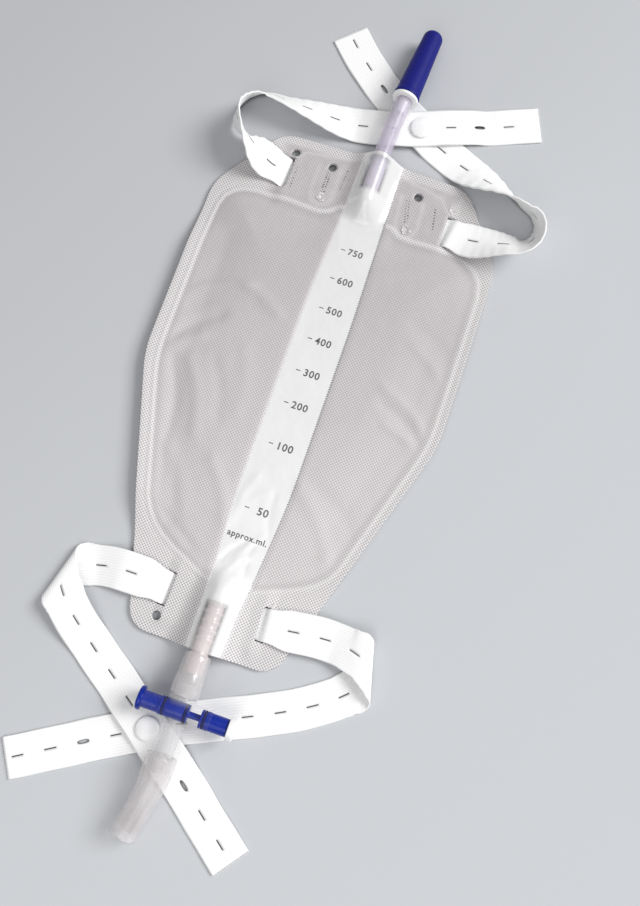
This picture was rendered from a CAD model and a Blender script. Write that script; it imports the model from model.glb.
"""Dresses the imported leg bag: its cloth covers, films, straps, tubes and tap, and the studio.

Every size is in metres. The bag is worked out in its own frame, with X across it and Y up from its
bottom edge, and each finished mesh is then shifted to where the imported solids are.
"""

import logging
from collections.abc import Callable, Sequence
from dataclasses import dataclass
from enum import Enum
from functools import cached_property
from math import atan2, cos, pi, radians, sin, sqrt, tan

import bmesh
import bpy
import numpy as np
from mathutils import Matrix, Vector


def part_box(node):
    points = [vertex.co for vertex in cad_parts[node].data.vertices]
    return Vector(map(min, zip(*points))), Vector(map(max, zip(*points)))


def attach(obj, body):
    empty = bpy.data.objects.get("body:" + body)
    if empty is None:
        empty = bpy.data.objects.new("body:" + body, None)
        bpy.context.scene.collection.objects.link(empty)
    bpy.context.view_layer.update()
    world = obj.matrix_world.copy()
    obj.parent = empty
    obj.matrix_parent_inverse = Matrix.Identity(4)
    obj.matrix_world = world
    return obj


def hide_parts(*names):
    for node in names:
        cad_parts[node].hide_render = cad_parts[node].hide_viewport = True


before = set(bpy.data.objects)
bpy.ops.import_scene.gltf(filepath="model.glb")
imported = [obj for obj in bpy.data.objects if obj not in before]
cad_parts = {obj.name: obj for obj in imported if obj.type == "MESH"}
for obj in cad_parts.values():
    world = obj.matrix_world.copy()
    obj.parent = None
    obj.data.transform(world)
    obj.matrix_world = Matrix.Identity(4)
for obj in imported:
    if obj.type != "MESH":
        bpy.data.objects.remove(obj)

Array = np.ndarray
Colour = tuple[float, float, float]
Mesh = bpy.types.Mesh
Object = bpy.types.Object
Socket = bpy.types.NodeSocket

MM = 0.001
LOG = logging.getLogger("leg_bag")
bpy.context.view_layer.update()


class Body(Enum):
    """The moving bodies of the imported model."""

    BAG = "bag"
    SLIDER = "tap_slider"
    CAP = "cap"


# Small sums


def smooth(t: Array | float) -> Array | float:
    """0 up to t = 0, 1 from t = 1 on, and an S between."""
    t = np.clip(t, 0.0, 1.0)
    return t * t * (3 - 2 * t)


def soft_max(a: Array, b: Array, width: Array | float) -> Array:
    """The larger of two heights, with the corner between them rounded over a width."""
    near = np.maximum(0.0, width - np.abs(a - b)) / width
    return np.maximum(a, b) + near * near * width / 4


def mix(a: Array | float, b: Array | float, t: Array | float) -> Array | float:
    """The value at share t of the way from a to b."""
    return a + (b - a) * t


def hermite(t: Array | float) -> tuple[Array | float, ...]:
    """Weights of a smooth line's start, first way, end and last way at share t of it."""
    return 2 * t**3 - 3 * t**2 + 1, t**3 - 2 * t**2 + t, 3 * t**2 - 2 * t**3, t**3 - t**2


def hump(off: Array, width: float) -> Array:
    """1 where off is 0, falling away over a width on both sides."""
    return np.exp(-((off / width) ** 2))


def distances(points: Sequence[Vector]) -> list[float]:
    """How far each point lies along the broken line through them all."""
    run = [0.0]
    for a, b in zip(points, points[1:]):
        run.append(run[-1] + (b - a).length)
    return run


def distance_to_line(points: Array, line: Array) -> Array:
    """Distance from each point to a broken line.

    Args:
        points: N x 2 places.
        line: M x 2 corners of the line.

    Returns:
        N distances.
    """
    way = line[1:] - line[:-1]
    length = np.maximum((way * way).sum(1), 1e-12)
    best = np.full(len(points), 1e9)
    for start, step, size in zip(line, way, length):
        t = np.clip(((points - start) @ step) / size, 0, 1)
        gap = points - start - t[:, None] * step
        best = np.minimum(best, np.hypot(gap[:, 0], gap[:, 1]))
    return best


def inside_loop(points: Array, loop: Array) -> Array:
    """Which points lie inside a closed loop of corners."""
    found = np.zeros(len(points), bool)
    x, y = points[:, 0], points[:, 1]
    for (ax, ay), (bx, by) in zip(loop, np.roll(loop, -1, axis=0)):
        if ay != by:
            found ^= ((ay > y) != (by > y)) & (x < (bx - ax) * (y - ay) / (by - ay) + ax)
    return found


# Finishes


def toned(colour: Colour, share: float) -> Colour:
    """A colour made darker or paler by a share."""
    return tuple(c * share for c in colour)


class Nodes:
    """Short ways to add and join the shader nodes of one material."""

    def __init__(self, name: str) -> None:
        """Makes the material with its Principled shader."""
        self.material = bpy.data.materials.new(name)
        self.material.use_nodes = True
        self.tree = self.material.node_tree
        self.shader = self.tree.nodes["Principled BSDF"]

    def put(self, socket: Socket, value: object) -> None:
        """Joins a socket to another, or sets its value."""
        if isinstance(value, Socket):
            self.tree.links.new(value, socket)
        else:
            socket.default_value = value

    def add(self, kind: str, **inputs: object) -> bpy.types.Node:
        """Adds a node.

        Args:
            kind: The node's type, without its ShaderNode prefix.
            inputs: Values or sockets by input name; the name of a property sets that property.

        Returns:
            The node.
        """
        node = self.tree.nodes.new("ShaderNode" + kind)
        for key, value in inputs.items():
            if hasattr(node, key):
                setattr(node, key, value)
            else:
                self.put(node.inputs[key], value)
        return node

    def set(self, **inputs: object) -> bpy.types.Material:
        """Sets or joins the shader's own sockets, with _ for a space in a name, and gives the material."""
        for key, value in inputs.items():
            self.put(self.shader.inputs[key.replace("_", " ")], value)
        return self.material

    def math(self, operation: str, *values: object) -> Socket:
        """A sum of one to three values or sockets."""
        node = self.add("Math", operation=operation)
        for socket, value in zip(node.inputs, values):
            self.put(socket, value)
        return node.outputs[0]

    def times(self, a: object, b: object) -> Socket:
        """A product of two values or sockets."""
        return self.math("MULTIPLY", a, b)

    def wave(self, along: Socket, pitch: float) -> Socket:
        """A cosine that repeats at a pitch."""
        return self.math("COSINE", self.times(along, 2 * pi / pitch))

    def attribute(self, name: str) -> Socket:
        """The value of one of the mesh's own point attributes."""
        return self.add("Attribute", attribute_name=name).outputs["Fac"]

    def place(self) -> Socket:
        """Object coordinates."""
        return self.add("TexCoord").outputs["Object"]

    def axes(self, where: Socket | None = None) -> bpy.types.bpy_prop_collection:
        """X, Y and Z of Object coordinates, or of those given."""
        return self.add("SeparateXYZ", Vector=where or self.place()).outputs

    def noise(self, scale: float, detail: float = 2.0) -> Socket:
        """A noise value on Object coordinates."""
        return self.add("TexNoise", Vector=self.place(), Scale=scale, Detail=detail).outputs["Fac"]

    def span(self, value: object, low: float, high: float, to_low: float = 0.0, to_high: float = 1.0) -> Socket:
        """A value mapped from one range to another and held there."""
        made = self.add("MapRange")
        for socket, given in zip(made.inputs, (value, low, high, to_low, to_high)):
            self.put(socket, given)
        return made.outputs[0]

    def clouds(self, scale: float, detail: float, low: float = 0.0, high: float = 1.0) -> Socket:
        """Soft patches between two values."""
        return self.span(self.noise(scale, detail), 0.3, 0.7, low, high)

    def blend(self, share: object, first: Colour | Socket, second: Colour | Socket) -> Socket:
        """A colour between two, by a share."""
        made = self.add("Mix", data_type="RGBA")
        self.put(made.inputs["Factor"], share)
        for socket, colour in ((made.inputs[6], first), (made.inputs[7], second)):
            self.put(socket, colour if isinstance(colour, Socket) else (*colour, 1.0))
        return made.outputs[2]

    def bump(self, height: Socket, depth: float, below: Socket | None = None) -> Socket:
        """A normal bent by a height of 0 to 1 that stands for a depth in metres."""
        made = self.add("Bump", Height=height, Distance=depth, Strength=1.0)
        if below:
            self.put(made.inputs["Normal"], below)
        return made.outputs["Normal"]


@dataclass(frozen=True)
class Finish:
    """What every finish has."""

    name: str
    slot: str
    colour: Colour
    roughness: float

    def made(self) -> bpy.types.Material:
        """The finish's material, built once."""
        return bpy.data.materials.get(self.name) or self.build(Nodes(self.name))

    def build(self, n: Nodes) -> bpy.types.Material:
        """Builds the material; each kind of finish has its own."""
        raise NotImplementedError


@dataclass(frozen=True)
class MeshCloth(Finish):
    """Cover cloth: a fine net of pale threads over a darker ground, set corner to corner."""

    ground: Colour
    pitch: float = 1.15 * MM
    depth: float = 0.07 * MM

    def build(self, n: Nodes) -> bpy.types.Material:
        """Weave in colour and height, soft clouds of tone, a pale pressed rim and film-tight tabs."""
        bend = n.times(n.math("SUBTRACT", n.noise(60.0, 1.0), 0.5), 0.9 * MM)
        x, y, _ = n.axes()
        threads = (n.wave(n.math(way, at, bend), self.pitch * sqrt(2)) for way, at in (("ADD", x), ("SUBTRACT", y)))
        net = n.span(n.times(*threads), -0.6, 0.5)
        high = n.span(y, -0.09, 0.07)
        deep = n.times(n.span(y, -0.084, -0.096), 0.8)
        rim, bead, tab, shade = (n.attribute(name) for name in ("weld", "bead", "tab", "shade"))
        light = n.blend(n.clouds(28.0, 3.0), toned(self.colour, 0.96), self.colour)
        light = n.blend(high, toned(self.colour, 1.32), light)
        light = n.blend(n.times(rim, 0.6), light, (0.90, 0.88, 0.885))
        light = n.blend(deep, light, (0.86, 0.84, 0.845))
        ground = n.blend(high, toned(self.ground, 1.12), self.ground)
        ground = n.blend(n.times(rim, 0.5), ground, toned(self.ground, 0.9))
        ground = n.blend(deep, ground, toned(self.ground, 0.85))
        tight = n.blend(n.clouds(200.0, 2.0), (0.39, 0.36, 0.375), (0.47, 0.44, 0.455))
        colour = n.blend(n.times(tab, 0.55), n.blend(net, ground, light), tight)
        colour = n.blend(n.times(shade, 0.28), colour, (0.36, 0.345, 0.35))
        colour = n.blend(n.times(bead, 0.42), colour, (0.82, 0.80, 0.805))
        n.set(Base_Color=colour, Sheen_Weight=0.2, Sheen_Roughness=0.4, Specular_IOR_Level=0.4)
        n.set(Roughness=n.span(tab, 0.0, 1.0, self.roughness, 0.42))
        return n.set(Normal=n.bump(net, self.depth, n.bump(n.noise(110.0, 3.0), 0.3 * MM)))


@dataclass(frozen=True)
class Film(Finish):
    """Soft plastic film with a gloss, milky but clearer where it is drawn over a tube."""

    alpha: float
    gloss: float = 0.5
    thin: float = 1.0

    def build(self, n: Nodes) -> bpy.types.Material:
        """Clouded film whose surface ripples a little."""
        colour = n.blend(n.clouds(60.0, 3.0), toned(self.colour, 0.95), self.colour)
        colour = n.blend(n.span(n.axes()[1], -0.09, 0.09), colour, toned(self.colour, 0.86))
        n.set(Alpha=n.span(n.attribute("clear"), 0.0, 1.0, self.alpha, min(self.alpha, self.thin)))
        n.set(Base_Color=colour, Roughness=self.roughness, Coat_Weight=self.gloss, Coat_IOR=2.0, Coat_Roughness=0.16)
        return n.set(Normal=n.bump(n.noise(700.0), 0.008 * MM, n.bump(n.noise(110.0), 0.45 * MM)))


@dataclass(frozen=True)
class Elastic(Finish):
    """White elastic: lengthwise cords with a fine weft, read along the strap's own UV in metres."""

    cord: float = 1.25 * MM
    weft: float = 0.5 * MM

    def build(self, n: Nodes) -> bpy.types.Material:
        """Cords across U, weft along V, a soiled tone in the furrows and dark slit edges."""
        across, along, _ = n.axes(n.add("UVMap", uv_map="run").outputs[0])
        cords = n.span(n.wave(across, self.cord), -1.0, 1.0)
        weft = n.span(n.wave(along, self.weft), -1.0, 1.0)
        colour = n.blend(n.span(cords, 0.0, 0.45), toned(self.colour, 0.93), self.colour)
        colour = n.blend(n.times(n.clouds(45.0, 3.0), 0.25), colour, (0.93, 0.93, 0.925))
        cut = n.times(n.math("POWER", n.attribute("cut"), 8.0), 0.95)
        colour = n.blend(cut, colour, (0.03, 0.03, 0.034))
        n.set(Base_Color=colour, Roughness=self.roughness, Sheen_Weight=0.3, Sheen_Roughness=0.4)
        height = n.math("ADD", n.times(cords, 0.75), n.times(weft, 0.25))
        return n.set(Specular_IOR_Level=0.25, Normal=n.bump(height, 0.07 * MM))


@dataclass(frozen=True)
class Moulded(Finish):
    """Hard moulded plastic with a faint grain and a little uneven gloss."""

    coat: float = 0.3
    specular: float = 0.5

    def build(self, n: Nodes) -> bpy.types.Material:
        """Nearly even colour, grain in the height, and gloss that varies."""
        colour = n.blend(n.clouds(150.0, 2.0), toned(self.colour, 0.93), self.colour)
        rough = n.clouds(400.0, 2.0, self.roughness * 0.85, self.roughness * 1.15)
        n.set(Base_Color=colour, Roughness=rough, Coat_Weight=self.coat, Coat_Roughness=0.15)
        return n.set(Specular_IOR_Level=self.specular, Normal=n.bump(n.noise(1500.0), 0.012 * MM))


@dataclass(frozen=True)
class ClearTube(Finish):
    """Translucent tube or clear plastic: part see-through, milky where it is thick."""

    alpha: float
    rim: float = 0.3
    coat: float = 0.6
    milk: float = 0.5

    def build(self, n: Nodes) -> bpy.types.Material:
        """A clouded wall that is denser where it is seen edge on."""
        colour = n.blend(n.clouds(80.0, 3.0), toned(self.colour, 0.94), self.colour)
        edge = n.add("LayerWeight", Blend=0.35).outputs["Facing"]
        wall = n.span(edge, 0.0, 1.0, self.alpha, min(1.0, self.alpha + self.rim))
        n.set(Alpha=n.math("MINIMUM", n.math("ADD", wall, n.times(n.attribute("milk"), self.milk)), 1.0))
        n.set(Base_Color=colour, Roughness=self.roughness, Coat_Weight=self.coat, Coat_Roughness=0.1, Coat_IOR=1.9)
        return n.set(Normal=n.bump(n.noise(300.0), 0.05 * MM))


@dataclass(frozen=True)
class Ink(Finish):
    """Printing ink, broken by the film's grain."""

    def build(self, n: Nodes) -> bpy.types.Material:
        """Dark ink that thins here and there."""
        worn = n.span(n.noise(1800.0), 0.35, 0.75, 0.0, 0.5)
        return n.set(Base_Color=n.blend(worn, self.colour, (0.35, 0.35, 0.37)), Roughness=self.roughness)


@dataclass(frozen=True)
class StudioPaper(Finish):
    """The grey paper that the bag lies on, paler towards the camera and dark in narrow gaps."""

    pale: Colour = (0.572, 0.587, 0.612)
    gap: float = 3.5 * MM

    def build(self, n: Nodes) -> bpy.types.Material:
        """Even grey with a slow change of tone."""
        x, y, _ = n.axes()
        down = n.span(n.math("SUBTRACT", n.times(x, 0.9), n.times(y, 0.44)), -0.26, 0.06)
        near = n.span(n.add("AmbientOcclusion", Distance=self.gap).outputs["AO"], 0.12, 0.62)
        tone = n.blend(near, toned(self.colour, 0.08), n.blend(down, self.colour, self.pale))
        n.set(Base_Color=tone, Roughness=self.roughness)
        return n.set(Specular_IOR_Level=0.2, Normal=n.bump(n.noise(900.0), 0.02 * MM))


CLOTH = MeshCloth("cover_net_cloth", "cover_fabric", (0.585, 0.56, 0.565), 0.7, ground=(0.43, 0.405, 0.412))
CLEAR_FILM = Film("window_film", "clear_film", (0.97, 0.97, 0.975), 0.2, alpha=0.93, gloss=0.4, thin=0.14)
BACK_FILM = Film("milky_back_film", "clear_film", (0.95, 0.95, 0.955), 0.45, alpha=1.0, gloss=0.05)
VALVE_FILM = Film("valve_milky_film", "valve_film", (0.96, 0.96, 0.97), 0.3, alpha=1.0, gloss=0.3)
ELASTIC = Elastic("ribbed_elastic", "white_elastic", (0.98, 0.98, 0.98), 0.8)
FIBRE = Moulded("elastic_fibre", "white_elastic", (0.97, 0.97, 0.97), 0.8, coat=0.0)
WHITE = Moulded("white_moulded", "white_plastic", (0.96, 0.96, 0.965), 0.35)
NAVY = Moulded("navy_moulded", "navy_plastic", (0.010, 0.013, 0.19), 0.5, coat=0.0, specular=0.16)
BLUE = Moulded("blue_moulded", "blue_plastic", (0.003, 0.021, 0.29), 0.3, coat=0.2, specular=0.2)
SEAL = Moulded("seal_ring_rubber", "seal_rubber", (0.008, 0.012, 0.09), 0.5, coat=0.0, specular=0.2)
PRESSED = Moulded("pressed_film", "cover_fabric", (0.22, 0.205, 0.21), 0.5, coat=0.2)
WELDED = Moulded("melted_film", "cover_fabric", (0.74, 0.71, 0.72), 0.25, coat=0.8)
LILAC = ClearTube("lilac_soft_tube", "lilac_tube", (0.72, 0.665, 0.80), 0.3, alpha=0.3, rim=0.4, coat=0.15)
PINK = ClearTube("pink_ribbed_tube", "pink_tube", (0.87, 0.76, 0.765), 0.35, alpha=0.75)
SLEEVE = ClearTube("frosted_sleeve", "clear_plastic", (0.88, 0.85, 0.855), 0.25, alpha=0.25, rim=0.35, coat=0.9)
BARREL = ClearTube("clear_barrel", "clear_plastic", (0.86, 0.85, 0.86), 0.1, alpha=0.015, rim=0.12, coat=1.0, milk=0.3)
HOSE = ClearTube("soft_outlet_hose", "soft_tube", (0.86, 0.82, 0.825), 0.3, alpha=0.22, rim=0.36)
INK = Ink("scale_ink", "clear_film", (0.07, 0.07, 0.08), 0.6)
PAPER = StudioPaper("grey_paper", "", (0.49, 0.50, 0.523), 0.9)


# The shape of the lying bag


@dataclass(frozen=True)
class Crease:
    """A soft fold in the sheets, in millimetres: a ridge, or a dent where its height is below zero."""

    x0: float
    y0: float
    x1: float
    y1: float
    width: float
    height: float

    def lift(self, x: Array, y: Array) -> Array:
        """Height that it adds, fading out past its two ends."""
        ax, ay = self.x0 * MM, self.y0 * MM
        way_x, way_y = self.x1 * MM - ax, self.y1 * MM - ay
        size = float(np.hypot(way_x, way_y))
        u = ((x - ax) * way_x + (y - ay) * way_y) / size
        v = ((y - ay) * way_x - (x - ax) * way_y) / size
        past = np.maximum(np.maximum(-u, u - size), 0.0)
        bow = 0.06 * size * np.sin(pi * np.clip(u / size, 0, 1))
        wide = self.width * MM
        return self.height * MM * hump(v - bow, wide) * hump(past, 1.6 * wide)


CREASES = tuple(
    Crease(*row)
    for row in (
        (-64, 162, -38, 172, 2.2, 0.68), (-38, 172, -20, 163, 3.0, 0.56), (-62, 156, -34, 164, 4.0, -0.43),
        (-64, 138, -47, 153, 3.2, -0.98), (-68, 128, -52, 140, 3.0, 0.9), (-60, 124, -50, 90, 3.0, -0.9),
        (-52, 128, -38, 96, 3.4, 0.68), (-40, 130, -30, 106, 3.2, -0.5), (-28, 140, -22, 112, 3.6, 0.37),
        (-56, 92, -46, 62, 3.4, -0.62), (-48, 86, -30, 60, 4.0, 0.5), (-24, 84, -10, 60, 3.2, 0.56),
        (-36, 46, -12, 60, 3.4, 0.43), (-46, 56, -22, 44, 2.6, -0.5), (20, 84, 44, 54, 3.6, 0.56),
        (30, 86, 56, 66, 4.0, -0.43), (42, 144, 66, 130, 2.6, 0.68), (48, 127, 68, 118, 2.4, 0.62),
        (44, 136, 66, 124, 2.4, -0.56), (50, 168, 69, 154, 3.0, 0.56), (48, 178, 68, 168, 3.4, -0.43),
        (24, 200, 54, 208, 4.0, 0.31), (-56, 196, -24, 204, 5.0, -0.43), (-60, 184, -30, 190, 5.0, 0.31),
        (24, 118, 40, 126, 3.6, 0.31), (-2, 36, 6, 47, 1.6, 0.5), (9, 33, 7, 54, 1.4, -0.43),
        (-5, 42, 3, 53, 1.4, -0.43), (2, 46, 10, 58, 1.5, 0.43), (-6, 62, -2, 84, 2.0, 0.43),
        (12, 60, 9, 78, 1.8, -0.37), (-3, 70, 5, 78, 1.8, 0.31),
    )
)


@dataclass(frozen=True)
class BagShape:
    """Sizes of the bag as it lies, and the heights of its sheets."""

    length: float = 256.4 * MM
    width: float = 148.8 * MM
    bottom: float = 70.4 * MM
    top: float = 98.8 * MM
    taper_end: float = 125.0 * MM
    shoulder: float = 220.3 * MM
    top_rise: float = 1.4 * MM
    radii: tuple[float, ...] = (0.0, 12 * MM, 60 * MM, 25 * MM, 14 * MM, 0.0)
    layer_gap: float = 0.2 * MM
    seat_gap: float = 0.25 * MM
    cover: float = 0.4 * MM
    film: float = 0.3 * MM
    weld: float = 5.2 * MM
    curl: float = 4.2 * MM
    puff: float = 4.5 * MM
    puff_run: float = 34.0 * MM
    crease_hold: float = 8.0 * MM
    window_width: float = 25.2 * MM
    window_top: float = 20.4 * MM
    window_bottom: float = 16.8 * MM
    window_shift: float = 3.9 * MM
    strap_width: float = 19.0 * MM
    strap_thick: float = 0.9 * MM
    strap_neck: float = 15.4 * MM
    strap_lift: float = 1.3 * MM
    slot_width: float = 4.4 * MM
    slot_ramp: float = 2.5 * MM
    upper_slots: float = 233.9 * MM
    lower_slots: float = 21.0 * MM
    inlet_x: float = 2.4 * MM
    inlet_radius: float = 4.2 * MM
    inlet_inside: float = 20.4 * MM
    outlet_x: float = 1.0 * MM
    port_radius: float = 4.7 * MM
    port_inside: float = 25.0 * MM
    port_drop: float = 10.4 * MM
    tube_clearance: float = 0.45 * MM
    valve_bed: float = 1.1 * MM
    inlet_axis: float = 7.15 * MM
    port_axis: float = 7.35 * MM
    cap_axis: float = 10.1 * MM
    tap_axis: float = 10.5 * MM

    @cached_property
    def outline(self) -> Array:
        """The right half of the outline with its rounded corners, from the bottom middle to the top middle."""
        across = (0.0, self.bottom / 2, self.width / 2, self.width / 2, self.top / 2, 0.0)
        corners = [Vector(p) for p in zip(across, (0.0, 0.0, self.taper_end, self.shoulder, self.length, self.length))]
        line: list[Vector] = []
        for i, (at, radius) in enumerate(zip(corners, self.radii)):
            if not radius:
                line.append(at)
                continue
            back, ahead = (corners[i - 1] - at).normalized(), (corners[i + 1] - at).normalized()
            half = back.angle(ahead) / 2
            centre = at + (back + ahead).normalized() * radius / sin(half)
            first = at + back * radius / tan(half) - centre
            turn = (pi - 2 * half) * (-1 if back.x * ahead.y > back.y * ahead.x else 1)
            line += [centre + Matrix.Rotation(turn * k / 16, 2) @ first for k in range(17)]
        return np.array([tuple(p) for p in line])

    def half_width(self, y: Array | float) -> Array | float:
        """Half of the bag's width at a height."""
        side = self.outline[1:-1]
        return np.interp(y, side[:, 1], side[:, 0])

    @cached_property
    def area(self) -> float:
        """Flat area of the whole outline."""
        x, y = self.outline[:, 0], self.outline[:, 1]
        return 2 * float(np.sum((x[1:] + x[:-1]) / 2 * (y[1:] - y[:-1])))

    def slot(self, upper: bool, side: int) -> Vector:
        """Middle of a strap slot; side is -1 on the left and 1 on the right."""
        if upper:
            return Vector((2.2 * MM + side * 43.65 * MM, self.upper_slots - side * 2.1 * MM))
        return Vector((-0.4 * MM + side * 24.2 * MM, self.lower_slots - side * 0.6 * MM))

    def slot_column(self, y: Array, side: int) -> Array:
        """X of the line that joins the lower slot to the upper one."""
        low, high = self.slot(False, side), self.slot(True, side)
        hold = self.strap_width * 0.65
        return mix(low.x, high.x, np.clip((y - low.y - hold) / (high.y - low.y - 2 * hold), 0, 1))

    def floor_lift(self, x: Array, y: Array) -> Array:
        """How far the bag stands off the floor: over the straps behind it, and where its sides curl up."""
        lift = np.zeros_like(x)
        for middle in (self.upper_slots, self.lower_slots):
            off = np.abs(y - middle) - (self.strap_width / 2 + 2.2 * MM)
            lift = np.maximum(lift, 1 - smooth(off / (7.5 * MM)))
        slot = np.where(x > 0, self.slot_column(y, 1), -self.slot_column(y, -1))
        out = np.abs(x) - slot + self.slot_ramp
        over = self.strap_lift * lift * (1 - np.clip(out / (2 * self.slot_ramp), 0, 1))
        return over + self.rim_curl(x, y)

    def rim_curl(self, x: Array, y: Array) -> Array:
        """How far the long sides turn up off the floor, between the two straps."""
        high = np.where(x < 0, self.curl, 0.45 * self.curl)
        near = smooth((np.abs(x) - self.half_width(y) + 20 * MM) / (20 * MM))
        return high * near * smooth((y - 38 * MM) / (26 * MM)) * smooth((208 * MM - y) / (26 * MM))

    def tent(self, off: Array, axis: Array | float, radius: float) -> Array:
        """Height of a sheet that lies over a tube and leaves it at 45 degrees."""
        reach = radius + self.tube_clearance
        over = axis + np.sqrt(np.maximum(reach * reach - off * off, 0))
        return np.where(np.abs(off) < reach / sqrt(2), over, axis + reach * sqrt(2) - np.abs(off))

    def port_line(self, y: Array | float) -> Array | float:
        """Height of the outlet port's axis, which rises from the bag to the tap."""
        rise = (self.tap_axis - self.port_axis) * 0.86
        return self.port_axis + rise * (self.port_inside - y) / (self.port_inside + self.port_drop)

    @cached_property
    def pouch(self) -> Array:
        """The weld line that closes the pouch, as a loop worked out in millimetres and turned to metres."""
        rise = np.linspace(60, 203, 24)
        half = self.half_width(rise * MM) / MM - self.weld / MM
        left = [*zip(1.6 - half, rise)]
        right = [*zip(half - 0.4, rise)][::-1]
        top = [(-67.2, 209), (-65.6, 214.5), (-62.4, 218.2), (-57.6, 220.6), (-51, 221.5), (-44, 221.2)]
        top += [(-34, 221.4), (-24, 220.6), (-18, 220.6), (-13.5, 222.2), (-9, 226), (18.6, 223.6)]
        top += [(23, 220.6), (30, 220), (40, 220.5), (51, 220.7), (58, 219.2), (63.5, 216), (67.2, 210.8)]
        bottom = [(46.8, 54.8), (44, 50), (39.8, 45.8), (34, 42), (27.7, 39), (20, 36), (13.4, 33), (1, 30.8)]
        bottom += [(-11, 33), (-20, 37.4), (-28, 41), (-35, 45), (-40, 49), (-44, 54)]
        return np.array(left + top + right + bottom) * MM

    def pouch_depth(self, x: Array, y: Array) -> Array:
        """Distance in from the weld line, and below zero outside it."""
        points = np.stack([x, y], axis=1)
        off = distance_to_line(points, np.vstack([self.pouch, self.pouch[:1]]))
        return np.where(inside_loop(points, self.pouch), off, -off)

    def front_lift(self, x: Array, y: Array, depth: Array) -> Array:
        """How far the front sheets stand above the flat stack: trapped air, and the two tubes."""
        level = self.floor_lift(x, y) + self.valve_bed
        air = self.puff * np.sin(pi / 2 * np.clip(depth, 0, self.puff_run) / self.puff_run)
        inlet = self.tent(x - self.inlet_x, self.inlet_axis, self.inlet_radius) - level
        inlet = soft_max(inlet, 0 * x, 4 * MM) * smooth((y - self.length + self.inlet_inside + 18 * MM) / (15 * MM))
        port = self.tent(x - self.outlet_x, self.port_line(y), self.port_radius) - level
        port = soft_max(port, 0 * x, 4 * MM) * smooth((self.port_inside + 19 * MM - y) / (16 * MM))
        return soft_max(air, np.maximum(inlet, port), 3 * MM * smooth(air / (2 * MM)) + 1e-6)

    def front_height(self, x: Array, y: Array, depth: Array, creased: bool = True) -> Array:
        """Height of the raised front above the floor, with or without its creases."""
        height = self.floor_lift(x, y) + self.front_lift(x, y, depth)
        if creased:
            height = height + sum(crease.lift(x, y) for crease in CREASES) * smooth(depth / self.crease_hold)
        return height

    def top_edge(self, x: Array, y: Array) -> Array:
        """Adds the top edge's slight rise to a height."""
        across = np.minimum(np.abs(x) / (self.top / 2), 1.0)
        return y + self.top_rise * (1 - across * across) * smooth((y - self.length + 16 * MM) / (16 * MM))

    def window(self, y: Array) -> tuple[Array, Array]:
        """The two inner edges of the front covers at each height."""
        middle = self.length * 0.55
        low, high = smooth(y / middle * 1.6), smooth((y - middle) / (self.length - middle) * 1.25 - 0.2)
        lower = mix(self.window_bottom, self.window_width, low)
        width = np.where(y <= middle, lower, mix(self.window_width, self.window_top, high))
        centre = self.window_shift * np.where(y <= middle, 0.63 + 0.37 * low, 1 + 0.15 * high)
        return centre - width / 2, centre + width / 2

    def beside_window(self, x: Array, y: Array) -> Array:
        """Distance from each point to the nearer of the front covers' inner edges."""
        left, right = self.window(y)
        return np.minimum(np.abs(x - left), np.abs(x - right))


SHAPE = BagShape()
LOW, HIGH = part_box("back_cover")
ORIGIN = Vector(((LOW.x + HIGH.x) / 2, LOW.y, 0.0))


# Making pieces


def linked(name: str, data: bpy.types.ID) -> Object:
    """A new object in the scene that holds some data."""
    made = bpy.data.objects.new(name, data)
    bpy.context.scene.collection.objects.link(made)
    return made


def finish_piece(
    mesh: Mesh, name: str, finish: Finish, body: Body, replaces: Sequence[str] = (), shade_smooth: bool = True
) -> Object:
    """Puts a mesh of the bag's frame in place as a finished piece.

    Args:
        mesh: The mesh, in the bag's frame.
        name: The piece's name.
        finish: What it is made of.
        body: The body that it rides on.
        replaces: The CAD nodes that it stands for.
        shade_smooth: Whether its faces are shaded smooth.

    Returns:
        The piece.
    """
    mesh.transform(Matrix.Translation(ORIGIN))
    mesh.materials.clear()
    mesh.materials.append(finish.made())
    mesh.polygons.foreach_set("use_smooth", [shade_smooth] * len(mesh.polygons))
    mesh.name = name
    piece = linked(name, mesh)
    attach(piece, body.value)
    if replaces:
        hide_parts(*replaces)
    LOG.info("piece %s, %d faces", name, len(mesh.polygons))
    return piece


def with_modifiers(data: bpy.types.ID, add: Callable[[Object], None] | None = None) -> Mesh:
    """The plain mesh of a mesh or curve after some modifiers, which are then gone.

    Args:
        data: The mesh or curve to start from.
        add: Adds the modifiers to a passing object that holds it.

    Returns:
        A new plain mesh.
    """
    passing = linked("passing", data)
    if add:
        add(passing)
    graph = bpy.context.evaluated_depsgraph_get()
    made = bpy.data.meshes.new_from_object(passing.evaluated_get(graph), depsgraph=graph)
    bpy.data.objects.remove(passing, do_unlink=True)
    return made


def thickened(mesh: Mesh, thickness: float) -> Mesh:
    """A thin sheet given its thickness, half of it on each side."""

    def add(passing: Object) -> None:
        """Adds the one modifier."""
        solid = passing.modifiers.new("thickness", "SOLIDIFY")
        solid.thickness, solid.offset, solid.use_even_offset = thickness, 0.0, False

    return with_modifiers(mesh, add)


def plain_mesh(
    name: str, points: Sequence[Sequence[float]] | Array, faces: Sequence[Sequence[int]] | Array = ()
) -> Mesh:
    """A mesh of points and faces."""
    mesh = bpy.data.meshes.new(name)
    mesh.from_pydata([tuple(map(float, p)) for p in points], [], [tuple(map(int, f)) for f in faces])
    return mesh


def set_share(mesh: Mesh, name: str, share: Array) -> None:
    """Keeps a value of 0 to 1 on each point, for the materials to read."""
    mesh.attributes.new(name, "FLOAT", "POINT").data.foreach_set("value", np.asarray(share, np.float32))


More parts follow.
